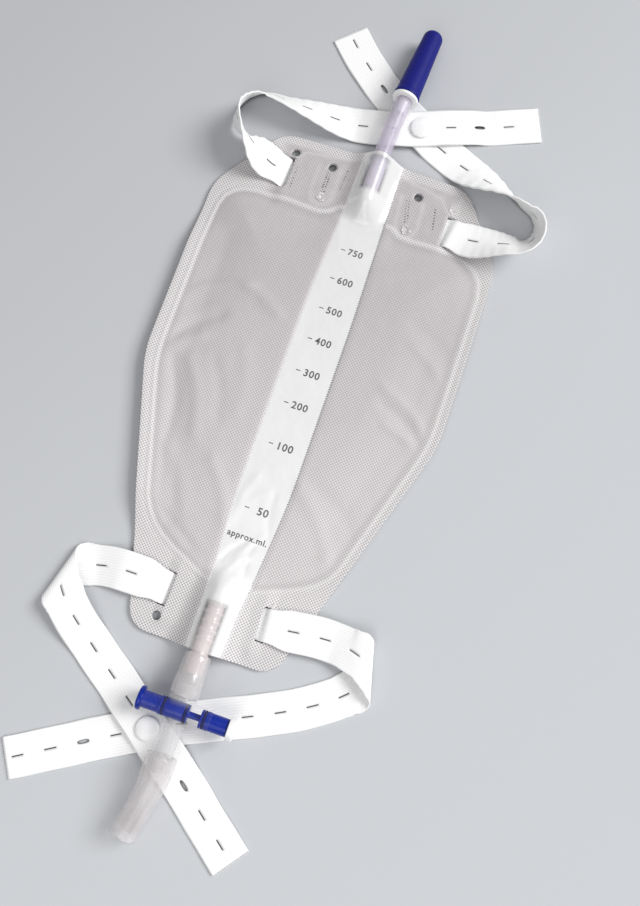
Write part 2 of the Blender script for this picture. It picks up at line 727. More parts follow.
def grid_faces(rows: int, columns: int) -> Array:
    """Corners of the faces of a grid of points that is kept row by row."""
    index = np.arange(rows * columns).reshape(rows, columns)
    return np.stack([index[:-1, :-1], index[:-1, 1:], index[1:, 1:], index[1:, :-1]], -1).reshape(-1, 4)


def to_mesh(bm: bmesh.types.BMesh, name: str) -> Mesh:
    """The mesh of a BMesh, which is then freed."""
    mesh = bpy.data.meshes.new(name)
    bm.to_mesh(mesh)
    bm.free()
    return mesh


def bridged(bm: bmesh.types.BMesh, rings: Sequence[Sequence[bmesh.types.BMVert]], name: str) -> Mesh:
    """The mesh of the faces between each ring of points and the next; a ring of one point is a tip."""
    steps = max(len(ring) for ring in rings)
    for a, b in zip(rings, rings[1:]):
        for k in range(steps if len(a) + len(b) > 2 else 0):
            n = (k + 1) % steps
            corners = (a[k % len(a)], a[n % len(a)], b[n % len(b)], b[k % len(b)])
            bm.faces.new(list(dict.fromkeys(corners)))
    bmesh.ops.recalc_face_normals(bm, faces=bm.faces[:])
    return to_mesh(bm, name)


def lathe(
    profile: Sequence[tuple[float, float]],
    place: Matrix,
    closed: bool = True,
    steps: int = 56,
    soften: float = 0.25 * MM,
    flute: Callable[[float, float], float] | None = None,
) -> Mesh:
    """A mesh turned about the local Z, with the corners of its profile eased.

    Args:
        profile: (radius, z) corners, walked so that the solid is on one side.
        place: Where the piece stands, in the bag's frame.
        closed: Whether the last corner joins the first.
        steps: Faces round the axis.
        soften: The radius given to each corner.
        flute: A radius to add, from the angle and z.

    Returns:
        The mesh.
    """
    corners = [Vector(p) for p in profile]
    eased: list[Vector] = []
    for i, at in enumerate(corners):
        back, ahead = corners[i - 1] - at, corners[(i + 1) % len(corners)] - at
        end = not closed and i in (0, len(corners) - 1)
        if end or min(at.x, back.length, ahead.length) <= 1e-7 or back.angle(ahead) > radians(172):
            eased.append(at)
            continue
        run = min(soften, back.length * 0.4, ahead.length * 0.4)
        a, b = at + back.normalized() * run, at + ahead.normalized() * run
        eased += [a, a.lerp(at, 0.55).lerp(at.lerp(b, 0.45), 0.5), b]
    bm = bmesh.new()
    rings = []
    for p in eased:
        if p.x <= 1e-7:
            rings.append([bm.verts.new((0, 0, p.y))])
            continue
        turns = [2 * pi * k / steps for k in range(steps)]
        radii = [p.x + (flute(a, p.y) if flute else 0.0) for a in turns]
        rings.append([bm.verts.new((r * cos(a), r * sin(a), p.y)) for a, r in zip(turns, radii)])
    mesh = bridged(bm, rings + rings[:1] if closed else rings, "lathe")
    mesh.transform(place)
    return mesh


def swept(
    path: Sequence[Vector],
    outer: Sequence[float] | Array,
    inner: Sequence[float] | Array,
    steps: int = 56,
    rough_end: float = 0.0,
) -> Mesh:
    """A tube along a line of points.

    Args:
        path: The tube's middle line.
        outer: Outer radius at each point.
        inner: Inner radius at each point.
        steps: Faces round it.
        rough_end: How unevenly its far end is cut.

    Returns:
        The mesh.
    """
    bm = bmesh.new()
    walls: tuple[list, list] = ([], [])
    last = len(path) - 1
    turns = [2 * pi * (k + 0.5) / steps for k in range(steps)]
    for i, point in enumerate(path):
        ahead = (path[min(i + 1, last)] - path[max(i - 1, 0)]).normalized()
        across = ahead.cross(Vector((0, 0, 1))).normalized()
        up = across.cross(ahead)
        rough = rough_end if i == last else 0.0
        for wall, radius in zip(walls, (outer[i], inner[i])):
            ring = []
            for a in turns:
                cut = ahead * rough * (sin(3 * a) + 0.6 * sin(7 * a + 1.3))
                ring.append(bm.verts.new(point + (across * cos(a) + up * sin(a)) * radius + cut))
            wall.append(ring)
    return bridged(bm, walls[0] + walls[1][::-1] + walls[0][:1], "tube")


def eased_line(start: Vector, start_way: Vector, end: Vector, end_way: Vector, steps: int) -> list[Vector]:
    """Points of a smooth line between two places and directions, without the first point."""
    line = []
    for k in range(1, steps + 1):
        a, b, c, d = hermite(k / steps)
        line.append(start * a + start_way * b + end * c + end_way * d)
    return line


def turned_to(axis: Vector, place: Vector) -> Matrix:
    """The frame whose Z points along an axis, at a place."""
    return Matrix.Translation(place) @ Vector((0, 0, 1)).rotation_difference(axis).to_matrix().to_4x4()


# Sheets


@dataclass(frozen=True)
class Hole:
    """A hole through all the sheets: round where it has no length."""

    x: float
    y: float
    radius: float
    length: float = 0.0
    turn: float = 0.0

    def off(self, x: Array, y: Array) -> tuple[Array, Array, Array]:
        """Distance outside the hole's edge, and the nearest place on that edge."""
        c, s = cos(self.turn), sin(self.turn)
        u, v = (x - self.x) * c + (y - self.y) * s, (y - self.y) * c - (x - self.x) * s
        if not self.length:
            size = np.maximum(np.hypot(u, v), 1e-9)
            off, pu, pv = size - self.radius, u / size * self.radius, v / size * self.radius
        else:
            a, b = self.radius, self.length / 2
            gap_u, gap_v = np.abs(u) - a, np.abs(v) - b
            off = np.maximum(gap_u, gap_v)
            on_u = gap_u > gap_v
            pu = np.where(on_u | (gap_u > 0), np.where(u < 0, -a, a), u)
            pv = np.where(~on_u | (gap_v > 0), np.where(v < 0, -b, b), v)
        return off, self.x + pu * c - pv * s, self.y + pu * s + pv * c


PRESSED_LINES = (
    ((-26.2, 244.5), (-26.2, 229.5), (-24, 226), (-20.6, 224.8), (-17, 226), (-14.8, 229.5), (-14.8, 245)),
    ((18.4, 243), (19.6, 229), (21.6, 223.8), (25.4, 221.6), (29.2, 223.4), (31, 228.4), (30, 242)),
    ((-39, 226), (-39, 245.5), (-34, 249.6), (-9.5, 252.4)),
    ((15.6, 252), (38, 247.4), (42.4, 242)),
)


class SheetSide(Enum):
    """Which side of the bag a sheet is on."""

    BACK = "back"
    FRONT = "front"


class Sheets:
    """The bag's five sheets: their points, their slots and holes, and their thickness."""

    edge_sink: float = 0.34 * MM
    punched: float = 2.2 * MM

    def __init__(self, shape: BagShape) -> None:
        """Works out the slots and punched holes."""
        self.shape = shape
        self.holes = self.make_holes()

    def make_holes(self) -> list[Hole]:
        """The strap slots and the round punched holes."""
        s = self.shape
        long = s.strap_neck + 0.9 * MM
        found = []
        for upper, leave in ((True, (176, 3)), (False, (178, 4))):
            left, right = s.slot(upper, -1), s.slot(upper, 1)
            inward = atan2(right.y - left.y, right.x - left.x)
            for slot, outward in ((left, radians(leave[0]) - pi), (right, radians(leave[1]))):
                found.append(Hole(slot.x, slot.y, s.slot_width / 2, long, (inward + outward) / 2))
        slot, top = s.slot(True, -1), s.length - 10.6 * MM
        places = [(slot.x + 1.7 * MM, slot.y + long / 2 + 3.6 * MM), (-19.6 * MM, top)]
        places += [(26.4 * MM, top - 1.4 * MM), (s.slot(False, -1).x, 8.4 * MM)]
        return found + [Hole(x, y, self.punched) for x, y in places]

    def rows(self, step: float) -> Array:
        """Heights of the rows of points, closer together at the two ends."""
        length = self.shape.length
        ends = np.array((0.08, 0.25, 0.45)) * MM
        even = np.linspace(0, length, round(length / step) + 1)
        return np.unique(np.round(np.concatenate([even, ends, length - ends]), 7))

    def mesh(
        self, columns: Array, rows: Array, level: float, thickness: float, side: SheetSide, raised_weld: bool = False
    ) -> Mesh:
        """A closed sheet from the X of each point of its grid.

        Args:
            columns: Rows x columns array of X.
            rows: Y of each row.
            level: Height of its underside above the bag's lowest sheet.
            thickness: Its thickness.
            side: Whether it follows the flat back or the raised front.
            raised_weld: Whether the weld line shows in its height.

        Returns:
            The mesh, with what its material reads as point attributes.
        """
        s = self.shape
        count, wide = columns.shape
        x, y = columns.ravel(), np.repeat(rows, wide)
        depth = s.pouch_depth(x, y)
        z = level + (s.front_height(x, y, depth) if side is SheetSide.FRONT else s.floor_lift(x, y))
        if raised_weld:
            sunk = 1 - smooth((s.beside_window(x, y) - 0.6 * MM) / (1.4 * MM))
            z = z + self.seam(depth) - self.edge_sink * sunk
        faces = grid_faces(count, wide)
        middle = x[faces].mean(1), y[faces].mean(1)
        faces = faces[np.all([hole.off(*middle)[0] > 0 for hole in self.holes], axis=0)]
        inner = np.arange(count * wide).reshape(count, wide)[1:-1, 1:-1]
        x, y = self.snapped(x, y, faces, inner)
        used, faces = np.unique(faces, return_inverse=True)
        points = np.stack([x, s.top_edge(x, y), z + thickness / 2], 1)[used]
        mesh = plain_mesh("sheet", points, faces.reshape(-1, 4))
        for name, share in self.shares(x[used], y[used], depth[used]).items():
            set_share(mesh, name, share)
        return thickened(mesh, thickness)

    def shares(self, x: Array, y: Array, depth: Array) -> dict[str, Array]:
        """How far each point is rim, weld bead, tab, shaded furrow and clear, by attribute name."""
        s = self.shape
        top = smooth((y - 219 * MM) / (4 * MM)) * smooth((-depth - 1.5 * MM) / (1.5 * MM))
        inset = s.half_width(np.minimum(y, 226 * MM)) - np.abs(x)
        low = smooth((32 * MM - y) / (6 * MM)) * smooth((-depth - 1.5 * MM) / (2 * MM))
        bead = 0.7 * hump(depth + 0.9 * MM, 0.8 * MM) * (1 - 0.6 * low)
        return {
            "weld": (1 - smooth((depth + 0.2 * MM) / (1.4 * MM))) * (1 - 0.8 * low),
            "bead": np.maximum(bead, self.lines(x, y)),
            "tab": top * smooth((s.length - 3.5 * MM - y) / (2 * MM)) * smooth((inset - 22 * MM) / (5 * MM)),
            "shade": hump(depth - 1.3 * MM, 1.5 * MM) * smooth((y - 30 * MM) / (8 * MM)),
            "clear": self.clear(x, y),
        }

    def clear(self, x: Array, y: Array) -> Array:
        """How clear the film is: wholly over the two tubes, a little beside them, milky elsewhere."""
        s = self.shape
        found = np.zeros_like(x)
        mouth = 1 - 0.8 * smooth((y - s.length + 1.9 * MM) / (0.7 * MM))
        inlet = smooth((y - s.length + s.inlet_inside) / (2.5 * MM)) * mouth
        outlet = smooth((s.port_inside - 0.5 * MM - y) / (2.5 * MM))
        for middle, zone in ((s.inlet_x, inlet), (s.outlet_x, outlet)):
            near = 1 - smooth((np.abs(x - middle) - 4.2 * MM) / (2.0 * MM))
            found = np.maximum(found, zone * (0.06 + 0.94 * near))
        return found

    def lines(self, x: Array, y: Array) -> Array:
        """How near each point is to the covers' pale cut edges and to the pressed lines in the tabs."""
        edge = 1 - smooth((self.shape.beside_window(x, y) - 0.4 * MM) / (0.5 * MM))
        for line in PRESSED_LINES:
            off = distance_to_line(np.stack([x, y], 1), np.array(line) * MM)
            edge = np.maximum(edge, 0.55 * hump(off, 0.95 * MM))
        return edge

    def seam(self, depth: Array) -> Array:
        """Height of the weld line: a raised bead just outside the pouch, with a furrow beside it."""
        return 0.3 * MM * hump(depth + 0.9 * MM, 0.95 * MM) - 0.1 * MM * hump(depth + 3.0 * MM, 0.9 * MM)

    def snapped(self, x: Array, y: Array, faces: Array, inner: Array) -> tuple[Array, Array]:
        """Moves the points round each hole onto its edge."""
        ends = np.sort(np.concatenate([faces[:, [i, (i + 1) % 4]] for i in range(4)]), axis=1)
        found, times = np.unique(ends, axis=0, return_counts=True)
        rim = np.intersect1d(np.unique(found[times == 1]), inner)
        x, y = x.copy(), y.copy()
        for hole in self.holes:
            off, on_x, on_y = hole.off(x[rim], y[rim])
            near = np.abs(off) < 2.2 * MM
            x[rim[near]], y[rim[near]] = on_x[near], on_y[near]
        return x, y


class Covers(Sheets):
    """The cloth covers: one behind and two in front, with pinked edges beside the window."""

    tooth: float = 0.55 * MM
    trim: float = 0.12 * MM
    rim: float = 11 * MM
    far: float = 62 * MM

    def spread(self, reach: Array, step: float) -> Array:
        """Distances in from the outer edge, close together over the weld.

        Args:
            reach: Distance from the outer edge to the window at each row.
            step: Spacing of the columns away from the edge.

        Returns:
            Rows x columns distances.
        """
        near = np.concatenate([np.arange(0, 8.0, 0.5), np.arange(8.0, 11.0, 0.75)]) * MM
        share = np.linspace(0, 1, round((self.far - self.rim) / step))
        tight = np.minimum(1.0, reach / (30 * MM))[:, None]
        return np.concatenate([near * tight, mix(self.rim * tight, reach[:, None], share)], axis=1)

    def build(self) -> None:
        """Makes the three covers."""
        s = self.shape
        rows = self.rows(0.6 * MM)
        half = s.half_width(rows)
        teeth = np.where(np.arange(len(rows)) % 2 == 0, 1.0, -0.4) * self.tooth
        names = {-1: "front_cover_left", 1: "front_cover_right"}
        level = s.valve_bed + s.film + s.layer_gap
        for side, edge in zip((-1, 1), s.window(rows)):
            reach = half - side * edge
            off = self.spread(reach, 1.3 * MM)
            off[:, -1] += teeth
            columns = (side * (half[:, None] - off))[:, ::-side]
            mesh = self.mesh(columns, rows, level, s.cover - self.trim, SheetSide.FRONT, raised_weld=True)
            piece = finish_piece(mesh, names[side] + "_cloth", CLOTH, Body.BAG, (names[side],))
        rows = self.rows(1.2 * MM)
        columns = s.half_width(rows)[:, None] * np.linspace(-1, 1, 90)
        mesh = self.mesh(columns, rows, 0.0, s.cover, SheetSide.BACK)
        piece = finish_piece(mesh, "back_cover_cloth", CLOTH, Body.BAG, ("back_cover",))
        s.area


class Films(Sheets):
    """The two films of the pouch and the flat valve between them."""

    def build(self) -> None:
        """Makes the films and the valve."""
        s = self.shape
        rows = self.rows(1.2 * MM)
        half = (s.half_width(rows) - 0.15 * MM)[:, None]
        left, right = (edge[:, None] + out * 1.5 * MM for edge, out in zip(s.window(rows), (-1, 1)))
        share, middle = np.linspace(0, 1, 40), np.linspace(0, 1, 34)[1:]
        columns = [mix(-half, left, share), mix(left, right, middle), mix(right, half, share[1:])]
        mesh = self.mesh(np.concatenate(columns, axis=1), rows, s.valve_bed, s.film, SheetSide.FRONT)
        piece = finish_piece(mesh, "front_film_sheet", CLEAR_FILM, Body.BAG, ("front_film",))
        s.area
        mesh = self.mesh(half * np.linspace(-1, 1, 80), rows, s.cover + s.layer_gap, s.film, SheetSide.BACK)
        piece = finish_piece(mesh, "back_film_sheet", BACK_FILM, Body.BAG, ("back_film",))
        s.area
        self.valve()

    def valve(self) -> None:
        """The flat valve: a milky strip with a rounded lower end and two weld lines."""
        s = self.shape
        top, run, wide = s.length - 2.5 * MM, 32 * MM, 18.6 * MM
        rows, share = np.linspace(top - run, top, 46), np.linspace(-1, 1, 21)
        down = np.maximum(0.0, 1 - (rows - rows[0]) / (wide / 2))
        half = wide / 2 * np.maximum(0.3, np.sqrt(1 - down * down))
        x, y = (s.inlet_x + half[:, None] * share).ravel(), np.repeat(rows, len(share))
        weld = 0.08 * MM * hump(np.abs(np.tile(share, len(rows))) - 0.72, 0.06)
        z = s.floor_lift(x, y) + s.valve_bed + 0.09 * MM + weld
        mesh = plain_mesh("valve", np.stack([x, s.top_edge(x, y), z], 1), grid_faces(len(rows), len(share)))
        finish_piece(thickened(mesh, 0.12 * MM), "valve_flap", VALVE_FILM, Body.BAG, ("nonreturn_valve",))


@dataclass(frozen=True)
class Graduation:
    """One line of the printed scale, in millimetres: its words, where they start and how high they stand."""

    words: str
    x: float
    y: float
    height: float
    dash: bool = True


class Scale:
    """The printed scale in the window."""

    marks: tuple[Graduation, ...] = (
        Graduation("750", 2.4, 203.4, 3.4),
        Graduation("600", 2.3, 187.3, 3.5),
        Graduation("500", 2.2, 171.1, 3.5),
        Graduation("400", 2.1, 154.6, 3.6),
        Graduation("300", 2.0, 137.7, 3.6),
        Graduation("200", 1.8, 120.8, 3.6),
        Graduation("100", 1.6, 99.6, 3.7),
        Graduation("50", 3.6, 67.1, 3.7),
        Graduation("approx.ml.", -6.4, 54.2, 2.9, dash=False),
    )
    ink: float = 0.05 * MM

    def build(self) -> None:
        """Makes the whole scale as one thin printed piece on the film."""
        bm = bmesh.new()
        for mark in self.marks:
            self.letters(bm, mark)
            if mark.dash:
                self.dash(bm, mark)
        bmesh.ops.triangulate(bm, faces=bm.faces[:])
        bmesh.ops.subdivide_edges(bm, edges=[e for e in bm.edges if e.calc_length() > 0.9 * MM], cuts=1)
        self.lay(bm)
        finish_piece(to_mesh(bm, "scale"), "printed_scale", INK, Body.BAG, shade_smooth=False)

    def letters(self, bm: bmesh.types.BMesh, mark: Graduation) -> None:
        """Adds a mark's words, as flat faces."""
        curve = bpy.data.curves.new("words", "FONT")
        curve.body, curve.size, curve.space_character = mark.words, mark.height * MM / 0.72, 1.12
        curve.offset, curve.resolution_u = 0.028 * mark.height * MM, 3
        flat = with_modifiers(curve)
        flat.transform(Matrix.Translation((mark.x * MM, mark.y * MM, 0)))
        bm.from_mesh(flat)
        bpy.data.curves.remove(curve)
        bpy.data.meshes.remove(flat)

    def dash(self, bm: bmesh.types.BMesh, mark: Graduation) -> None:
        """Adds the short line before a number, which wanders left towards the bottom."""
        left = -1.2 - 1.5 * min(1.0, max(0.0, (205 - mark.y) / 140))
        right, middle, half = left + 2.2, mark.y + mark.height / 2, 0.22
        corners = ((left, middle - half), (right, middle - half), (right, middle + half), (left, middle + half))
        bm.faces.new([bm.verts.new((x * MM, y * MM, 0)) for x, y in corners])

    def lay(self, bm: bmesh.types.BMesh) -> None:
        """Lifts every point onto the film."""
        x, y = np.array([v.co.xy for v in bm.verts]).T
        z = SHAPE.front_height(x, y, SHAPE.pouch_depth(x, y)) + SHAPE.valve_bed + SHAPE.film + self.ink
        for vert, height in zip(bm.verts, z):
            vert.co.z = height


# Straps


def towards(heading: float) -> Vector:
    """The way of a heading in degrees, in plan."""
    return Vector((cos(radians(heading)), sin(radians(heading))))


@dataclass(frozen=True)
class StrapArm:
    """One arm of a strap: from its slot round its turn to the button and on to its free end.

    In its turn the arm turns over. It either stands up on its edge and lies down on its other
    face, or, where it has a fold, is folded over along a line on the ground.
    """

    slot: Vector
    leave: float
    centre: tuple[float, float]
    radius: float
    spin: int
    turn_in: float
    turn_out: float
    button: tuple[float, float]
    heading: float
    free: float
    free_turn: float
    over: bool
    bank_in: float = 0.0
    bank_out: float = 0.0
    untwist: float = 1.0
    fold: float | None = None
    fold_up: bool = True
    ease: float = 14.0 * MM
    reach: float = 26.0 * MM

    @property
    def fold_angle(self) -> float:
        """Angle between the strap and its fold."""
        return radians(abs(self.turn_out - self.turn_in)) / 2

    @property
    def along_fold(self) -> Vector:
        """The way along the fold."""
        return towards(self.fold or 0.0).to_3d()

    def turned_over(self, s: float, start: float, end: float) -> float:
        """How far it has turned over at a distance from its slot: 0 is flat, and so is pi."""
        if self.fold is not None:
            return 0.0 if s < (start + end) / 2 else pi
        rise = self.bank_in * smooth((s - 5 * MM) / (start - 3 * MM))
        turn = (self.bank_out - self.bank_in) * min(1.0, max(0.0, (s - start) / (end - start)))
        return radians(rise + turn + (180 - self.bank_out) * smooth((s - end) / self.untwist))

    def skew(self, s: float, start: float, end: float) -> float:
        """How far its cross-sections are turned towards the line of the fold."""
        if self.fold is None:
            return 0.0
        away = start - s if s < start else s - end
        full = self.spin * (pi / 2 - self.fold_angle)
        return float((-full if s < start else full) * (1 - smooth(away / self.ease)))

    def fold_lift(self, s: float, lift: float, start: float, end: float) -> float:
        """Height of the lower face near the fold, where one run lies over the other."""
        if self.fold is None:
            return lift
        low, high = (0.0, 2 * self.radius) if self.fold_up else (2 * self.radius, 0.0)
        if s < start:
            return mix(lift, low, smooth((s - start + self.reach) / (self.reach - 5 * MM)))
        if s > end:
            return high * (1 - smooth((s - end - self.reach / 3) / self.reach))
        return mix(low, high, (1 - cos(pi * (s - start) / (end - start))) / 2)

    def turn(self) -> list[Vector]:
        """The turn's points in plan."""
        middle = Vector(self.centre)
        if self.fold is None:
            sweep = self.turn_out - self.turn_in
            steps = max(4, round(abs(sweep) / 22))
            headings = [self.turn_in + sweep * k / steps - self.spin * 90 for k in range(steps + 1)]
            return [middle + towards(heading) * self.radius for heading in headings]
        along = self.along_fold.to_2d()
        out = Vector((along.y, -along.x)) * self.spin
        advance = self.radius / tan(self.fold_angle)
        angles = [pi * k / 6 for k in range(7)]
        return [middle + out * self.radius * (sin(a) - 1) + along * advance * (a - pi / 2) for a in angles]

    def line(self) -> tuple[list[Vector], list[float], float, float, float]:
        """Points in plan, and the distances at which they, the turn's two ends and the button lie."""
        points = [self.slot + towards(self.leave) * d * MM for d in (0.0, 0.7, 1.4, 2.1, 3.2, 5.0)]
        turn = self.turn()
        points += self.curve(points[-1], self.leave, turn[0], self.turn_in, 7)
        start = len(points) - 1
        points += turn[1:]
        end = len(points) - 1
        pull = 1.0 if self.fold is None else 0.75
        points += self.curve(points[-1], self.turn_out, Vector(self.button), self.heading, 12, pull)
        button = len(points) - 1
        for k in range(9):
            points.append(points[-1] + towards(self.heading + self.free_turn * (k + 0.5) / 9) * self.free / 9)
        run = distances(points)
        return points, run, run[start], run[end], run[button]

    def curve(self, a: Vector, leave: float, b: Vector, arrive: float, steps: int, pull: float = 1.0) -> list[Vector]:
        """Points of a smooth line between two places and headings in degrees."""
        length = (b - a).length * pull
        return eased_line(a, towards(leave) * length, b, towards(arrive) * length, steps)


@dataclass(frozen=True)
class Station:
    """One cross-section of a strap."""

    centre: Vector
    ahead: Vector
    across: Vector
    width: float


class Strap:
    """An elastic strap with buttonhole slits, drawn through two slots of the bag."""

    stack: float = 2.0 * MM
    over_gap: float = 0.6 * MM
    under_lift: float = 0.85 * MM
    over_lift: float = 2.25 * MM
    pitch: float = 15.0 * MM
    slit_length: float = 6.0 * MM
    cords: tuple[float, ...] = (-1, -0.93, -0.8, -0.62, -0.45, -0.28, -0.14)

    def __init__(self, name: str, left: StrapArm, right: StrapArm) -> None:
        """Keeps the two arms and works out the strap's fine stations."""
        self.name, self.left, self.right = name, left, right
        angle = radians(abs(left.heading - right.heading)) % pi
        self.coarse = self.stations(min(angle, pi - angle))
        self.coarse_run = np.array(distances([station.centre for station in self.coarse]))
        self.fine, self.run = self.refined(1.1 * MM)

    def climb(self, s: float) -> float:
        """How high it has come on its way up through its slot, at a distance past the slot."""
        share = smooth((s + SHAPE.slot_width / 2 - 0.5 * MM) / (SHAPE.slot_width - 0.6 * MM))
        return (self.stack + self.over_gap) * share

    def width_at(self, s: float) -> float:
        """Its width at a distance from its slot, in which it is drawn together."""
        return mix(SHAPE.strap_width, SHAPE.strap_neck, 1 - smooth((s - 3 * MM) / (9 * MM)))

    def centre_height(self, lift: float, bank: float, width: float) -> float:
        """Height of the strap's middle when its lowest corner is at a lift."""
        return lift + width / 2 * abs(sin(bank)) + SHAPE.strap_thick / 2 * abs(cos(bank))

    def sections(self, arm: StrapArm, side: int, reach: float) -> list[tuple[Vector, float, float, float, float]]:
        """Place in plan, lift, bank, width and skew along one arm.

        Args:
            arm: The arm.
            side: -1 for the left arm and 1 for the right one.
            reach: How far from the button the two arms still lie over each other.

        Returns:
            The sections, from the slot to the free end.
        """
        points, run, turn_start, turn_end, button = arm.line()
        low_side = arm.slot.y + (-arm.spin * side) * SHAPE.strap_width / 2
        hold = float(SHAPE.half_width(low_side)) - abs(arm.slot.x) + 4 * MM
        found = []
        for point, s in zip(points, run):
            bank = arm.turned_over(s, turn_start, turn_end)
            skew = arm.skew(s, turn_start, turn_end)
            lift = self.climb(s) * (1 - smooth((s - hold) / (15 * MM)))
            lift = arm.fold_lift(s, lift, turn_start, turn_end)
            off = abs(s - button)
            if arm.over:
                lift += (self.over_lift - self.under_lift) * (1 - smooth((off - reach - 4 * MM) / (10 * MM)))
                lift += self.under_lift * (1 - smooth((off - reach + 5 * MM) / (10 * MM)))
            else:
                lift += self.under_lift * (1 - smooth((off - 5.5 * MM) / (6 * MM)))
            found.append((point, lift, -bank * arm.spin, self.width_at(s) / cos(skew), skew))
        return found

    def stations(self, cross_angle: float) -> list[Station]:
        """Stations of the whole strap, from one free end to the other.

        Args:
            cross_angle: The angle at which the two arms cross at the button.

        Returns:
            The stations, as far apart as the solid's.
        """
        reach = SHAPE.strap_width / 2 * (1 + cos(cross_angle)) / sin(cross_angle)
        left, right = self.sections(self.left, -1, reach), self.sections(self.right, 1, reach)
        a, b = self.left.slot, self.right.slot
        along = (b - a).normalized() * MM
        steps = (0.7, 1.3, 1.9, 3.2, 9.0, 15.0)
        from_a = [(a + along * d, self.climb(-d * MM), 0.0, self.width_at(d * MM), 0.0) for d in steps]
        from_b = [(b - along * d, *rest) for d, (_, *rest) in zip(steps, from_a)]
        flat = left[::-1] + from_a + from_b[::-1] + right
        found = []
        for i, (point, lift, bank, width, skew) in enumerate(flat):
            arm, way = (self.left, -1) if i < len(left) else (self.right, 1)
            bank *= way
            before, after = flat[max(i - 1, 0)], flat[min(i + 1, len(flat) - 1)]
            level = (after[0] - before[0]).normalized()
            across = Vector((-level.y, level.x, 0.0)) * cos(bank) + Vector((0, 0, sin(bank)))
            rise = self.centre_height(*after[1:4]) - self.centre_height(*before[1:4])
            ahead = Vector((*(after[0] - before[0]), rise)).normalized()
            across = (across - ahead * across.dot(ahead)).normalized()
            if skew:
                across = Matrix.Rotation(skew, 3, "Z") @ across
            if arm.fold is not None and abs(skew) > 0.999 * abs(pi / 2 - arm.fold_angle):
                across = arm.along_fold * arm.spin * way
            centre = Vector((*point, self.centre_height(lift, bank, width)))
            found.append(Station(centre, ahead, across, width))
        return found

    def refined(self, step: float) -> tuple[list[Station], Array]:
        """Stations close together on a smooth line through the coarse ones, and their distances."""
        known, run = self.coarse, self.coarse_run
        places = np.array([tuple(k.centre) for k in known])
        across = np.array([tuple(k.across) for k in known])
        slope = np.gradient(places, run, axis=0)
        at = np.linspace(0, run[-1], round(run[-1] / step) + 1)
        i = np.clip(np.searchsorted(run, at, "right") - 1, 0, len(run) - 2)
        size = (run[i + 1] - run[i])[:, None]
        a, b, c, d = hermite((at - run[i])[:, None] / size)
        line = places[i] * a + slope[i] * size * b + places[i + 1] * c + slope[i + 1] * size * d
        sideways = mix(across[i], across[i + 1], c)
        widths = np.interp(at, run, [k.width for k in known])
        found = [
            Station(Vector(place), Vector(way).normalized(), Vector(side).normalized(), float(width))
            for place, way, side, width in zip(line, np.gradient(line, at, axis=0), sideways, widths)
        ]
        return found, at

    def slits(self) -> list[tuple[float, bool]]:
        """Distances of the slits along the strap, and whether each stands open."""
        total = self.coarse_run[-1]
        found = []
        for arm, button, way in ((self.left, self.left.free, -1), (self.right, total - self.right.free, 1)):
            button_run = arm.line()[4]
            past, back = int((arm.free - 2 * MM) / self.pitch), int((button_run - 4 * MM) / self.pitch)
            for n in range(-back, past + 1):
                s = button + way * n * self.pitch
                if n and 4 * MM < s < total - 4 * MM:
                    found.append((s, n == 2))
        return found

    def rows(self, cuts: Sequence[tuple[float, bool]]) -> Array:
        """Distances of the ribbon's rows of points, with rows at the ends of each slit."""
        ends = [s + way * self.slit_length / 2 for s, _ in cuts for way in (-1, -0.82, 0.82, 1)]
        run = np.unique(np.round(np.concatenate([self.run, ends]), 7))
        sharp = set(np.round(ends, 7))
        keep = [run[0]]
        for at in run[1:]:
            if at - keep[-1] >= 0.35 * MM or at in sharp:
                keep.append(at)
        return np.array(keep)

    def gaps(self, run: Array, cuts: Sequence[tuple[float, bool]]) -> Array:
        """Half of the gap between the two middle columns, which opens in each slit."""
        gap = np.full(len(run), 0.012 * MM)
        for s, opened in cuts:
            off = np.abs(run - s)
            shape = np.sqrt(np.clip(1 - (off / (self.slit_length / 2)) ** 2, 0, 1))
            wide = 0.8 * MM * shape if opened else 0.17 * MM * np.minimum(1, shape * 2)
            inside = off < self.slit_length / 2 - 1e-6
            gap[inside] = np.maximum(wide, 0.05 * MM)[inside]
        return gap

    def mesh(self) -> Mesh:
        """The strap as one closed ribbon whose slits are real gaps, with its UV in metres."""
        cuts = self.slits()
        run = self.rows(cuts)
        gap = self.gaps(run, cuts)
        fine = np.array([(*f.centre, *f.across, *f.ahead, f.width) for f in self.fine])
        table = np.stack([np.interp(run, self.run, column) for column in fine.T], 1)
        across = table[:, 3:6] / np.linalg.norm(table[:, 3:6], axis=1)[:, None]
        normal = np.cross(table[:, 6:9], across)
        normal /= np.linalg.norm(normal, axis=1)[:, None]
        off = np.array((*self.cords, 0, 0, *(-c for c in self.cords[::-1])))
        middle = len(self.cords)
        u = off * table[:, 9:] / 2
        u[:, [0, -1]] -= (0.12 * MM * np.sin(run / (9.1 * MM)) + 0.07 * MM * np.sin(run / (3.3 * MM) + 1.0))[:, None]
        u[:, middle - 1 : middle + 3] += gap[:, None] * (-0.6, -1, 1, 0.6)
        ripple = 0.1 * MM * np.sin(run[:, None] / (5.7 * MM) + off * 2.0) * np.abs(off)
        points = table[:, None, :3] + across[:, None] * u[..., None] + normal[:, None] * ripple[..., None]
        at = (run[1:] + run[:-1]) / 2
        keep = np.ones((len(at), len(off) - 1), bool)
        keep[:, middle] = [all(abs(place - s) >= self.slit_length / 2 for s, _ in cuts) for place in at]
        faces = grid_faces(*u.shape)[:, ::-1][keep.ravel()]
        mesh = plain_mesh("ribbon", points.reshape(-1, 3), faces)
        dark = np.zeros_like(u)
        dark[:, middle : middle + 2] = (gap > 0.03 * MM)[:, None]
        set_share(mesh, "cut", dark.ravel())
        uv = np.stack([u, np.broadcast_to(run[:, None], u.shape)], -1).reshape(-1, 2)
        corners = [loop.vertex_index for loop in mesh.loops]
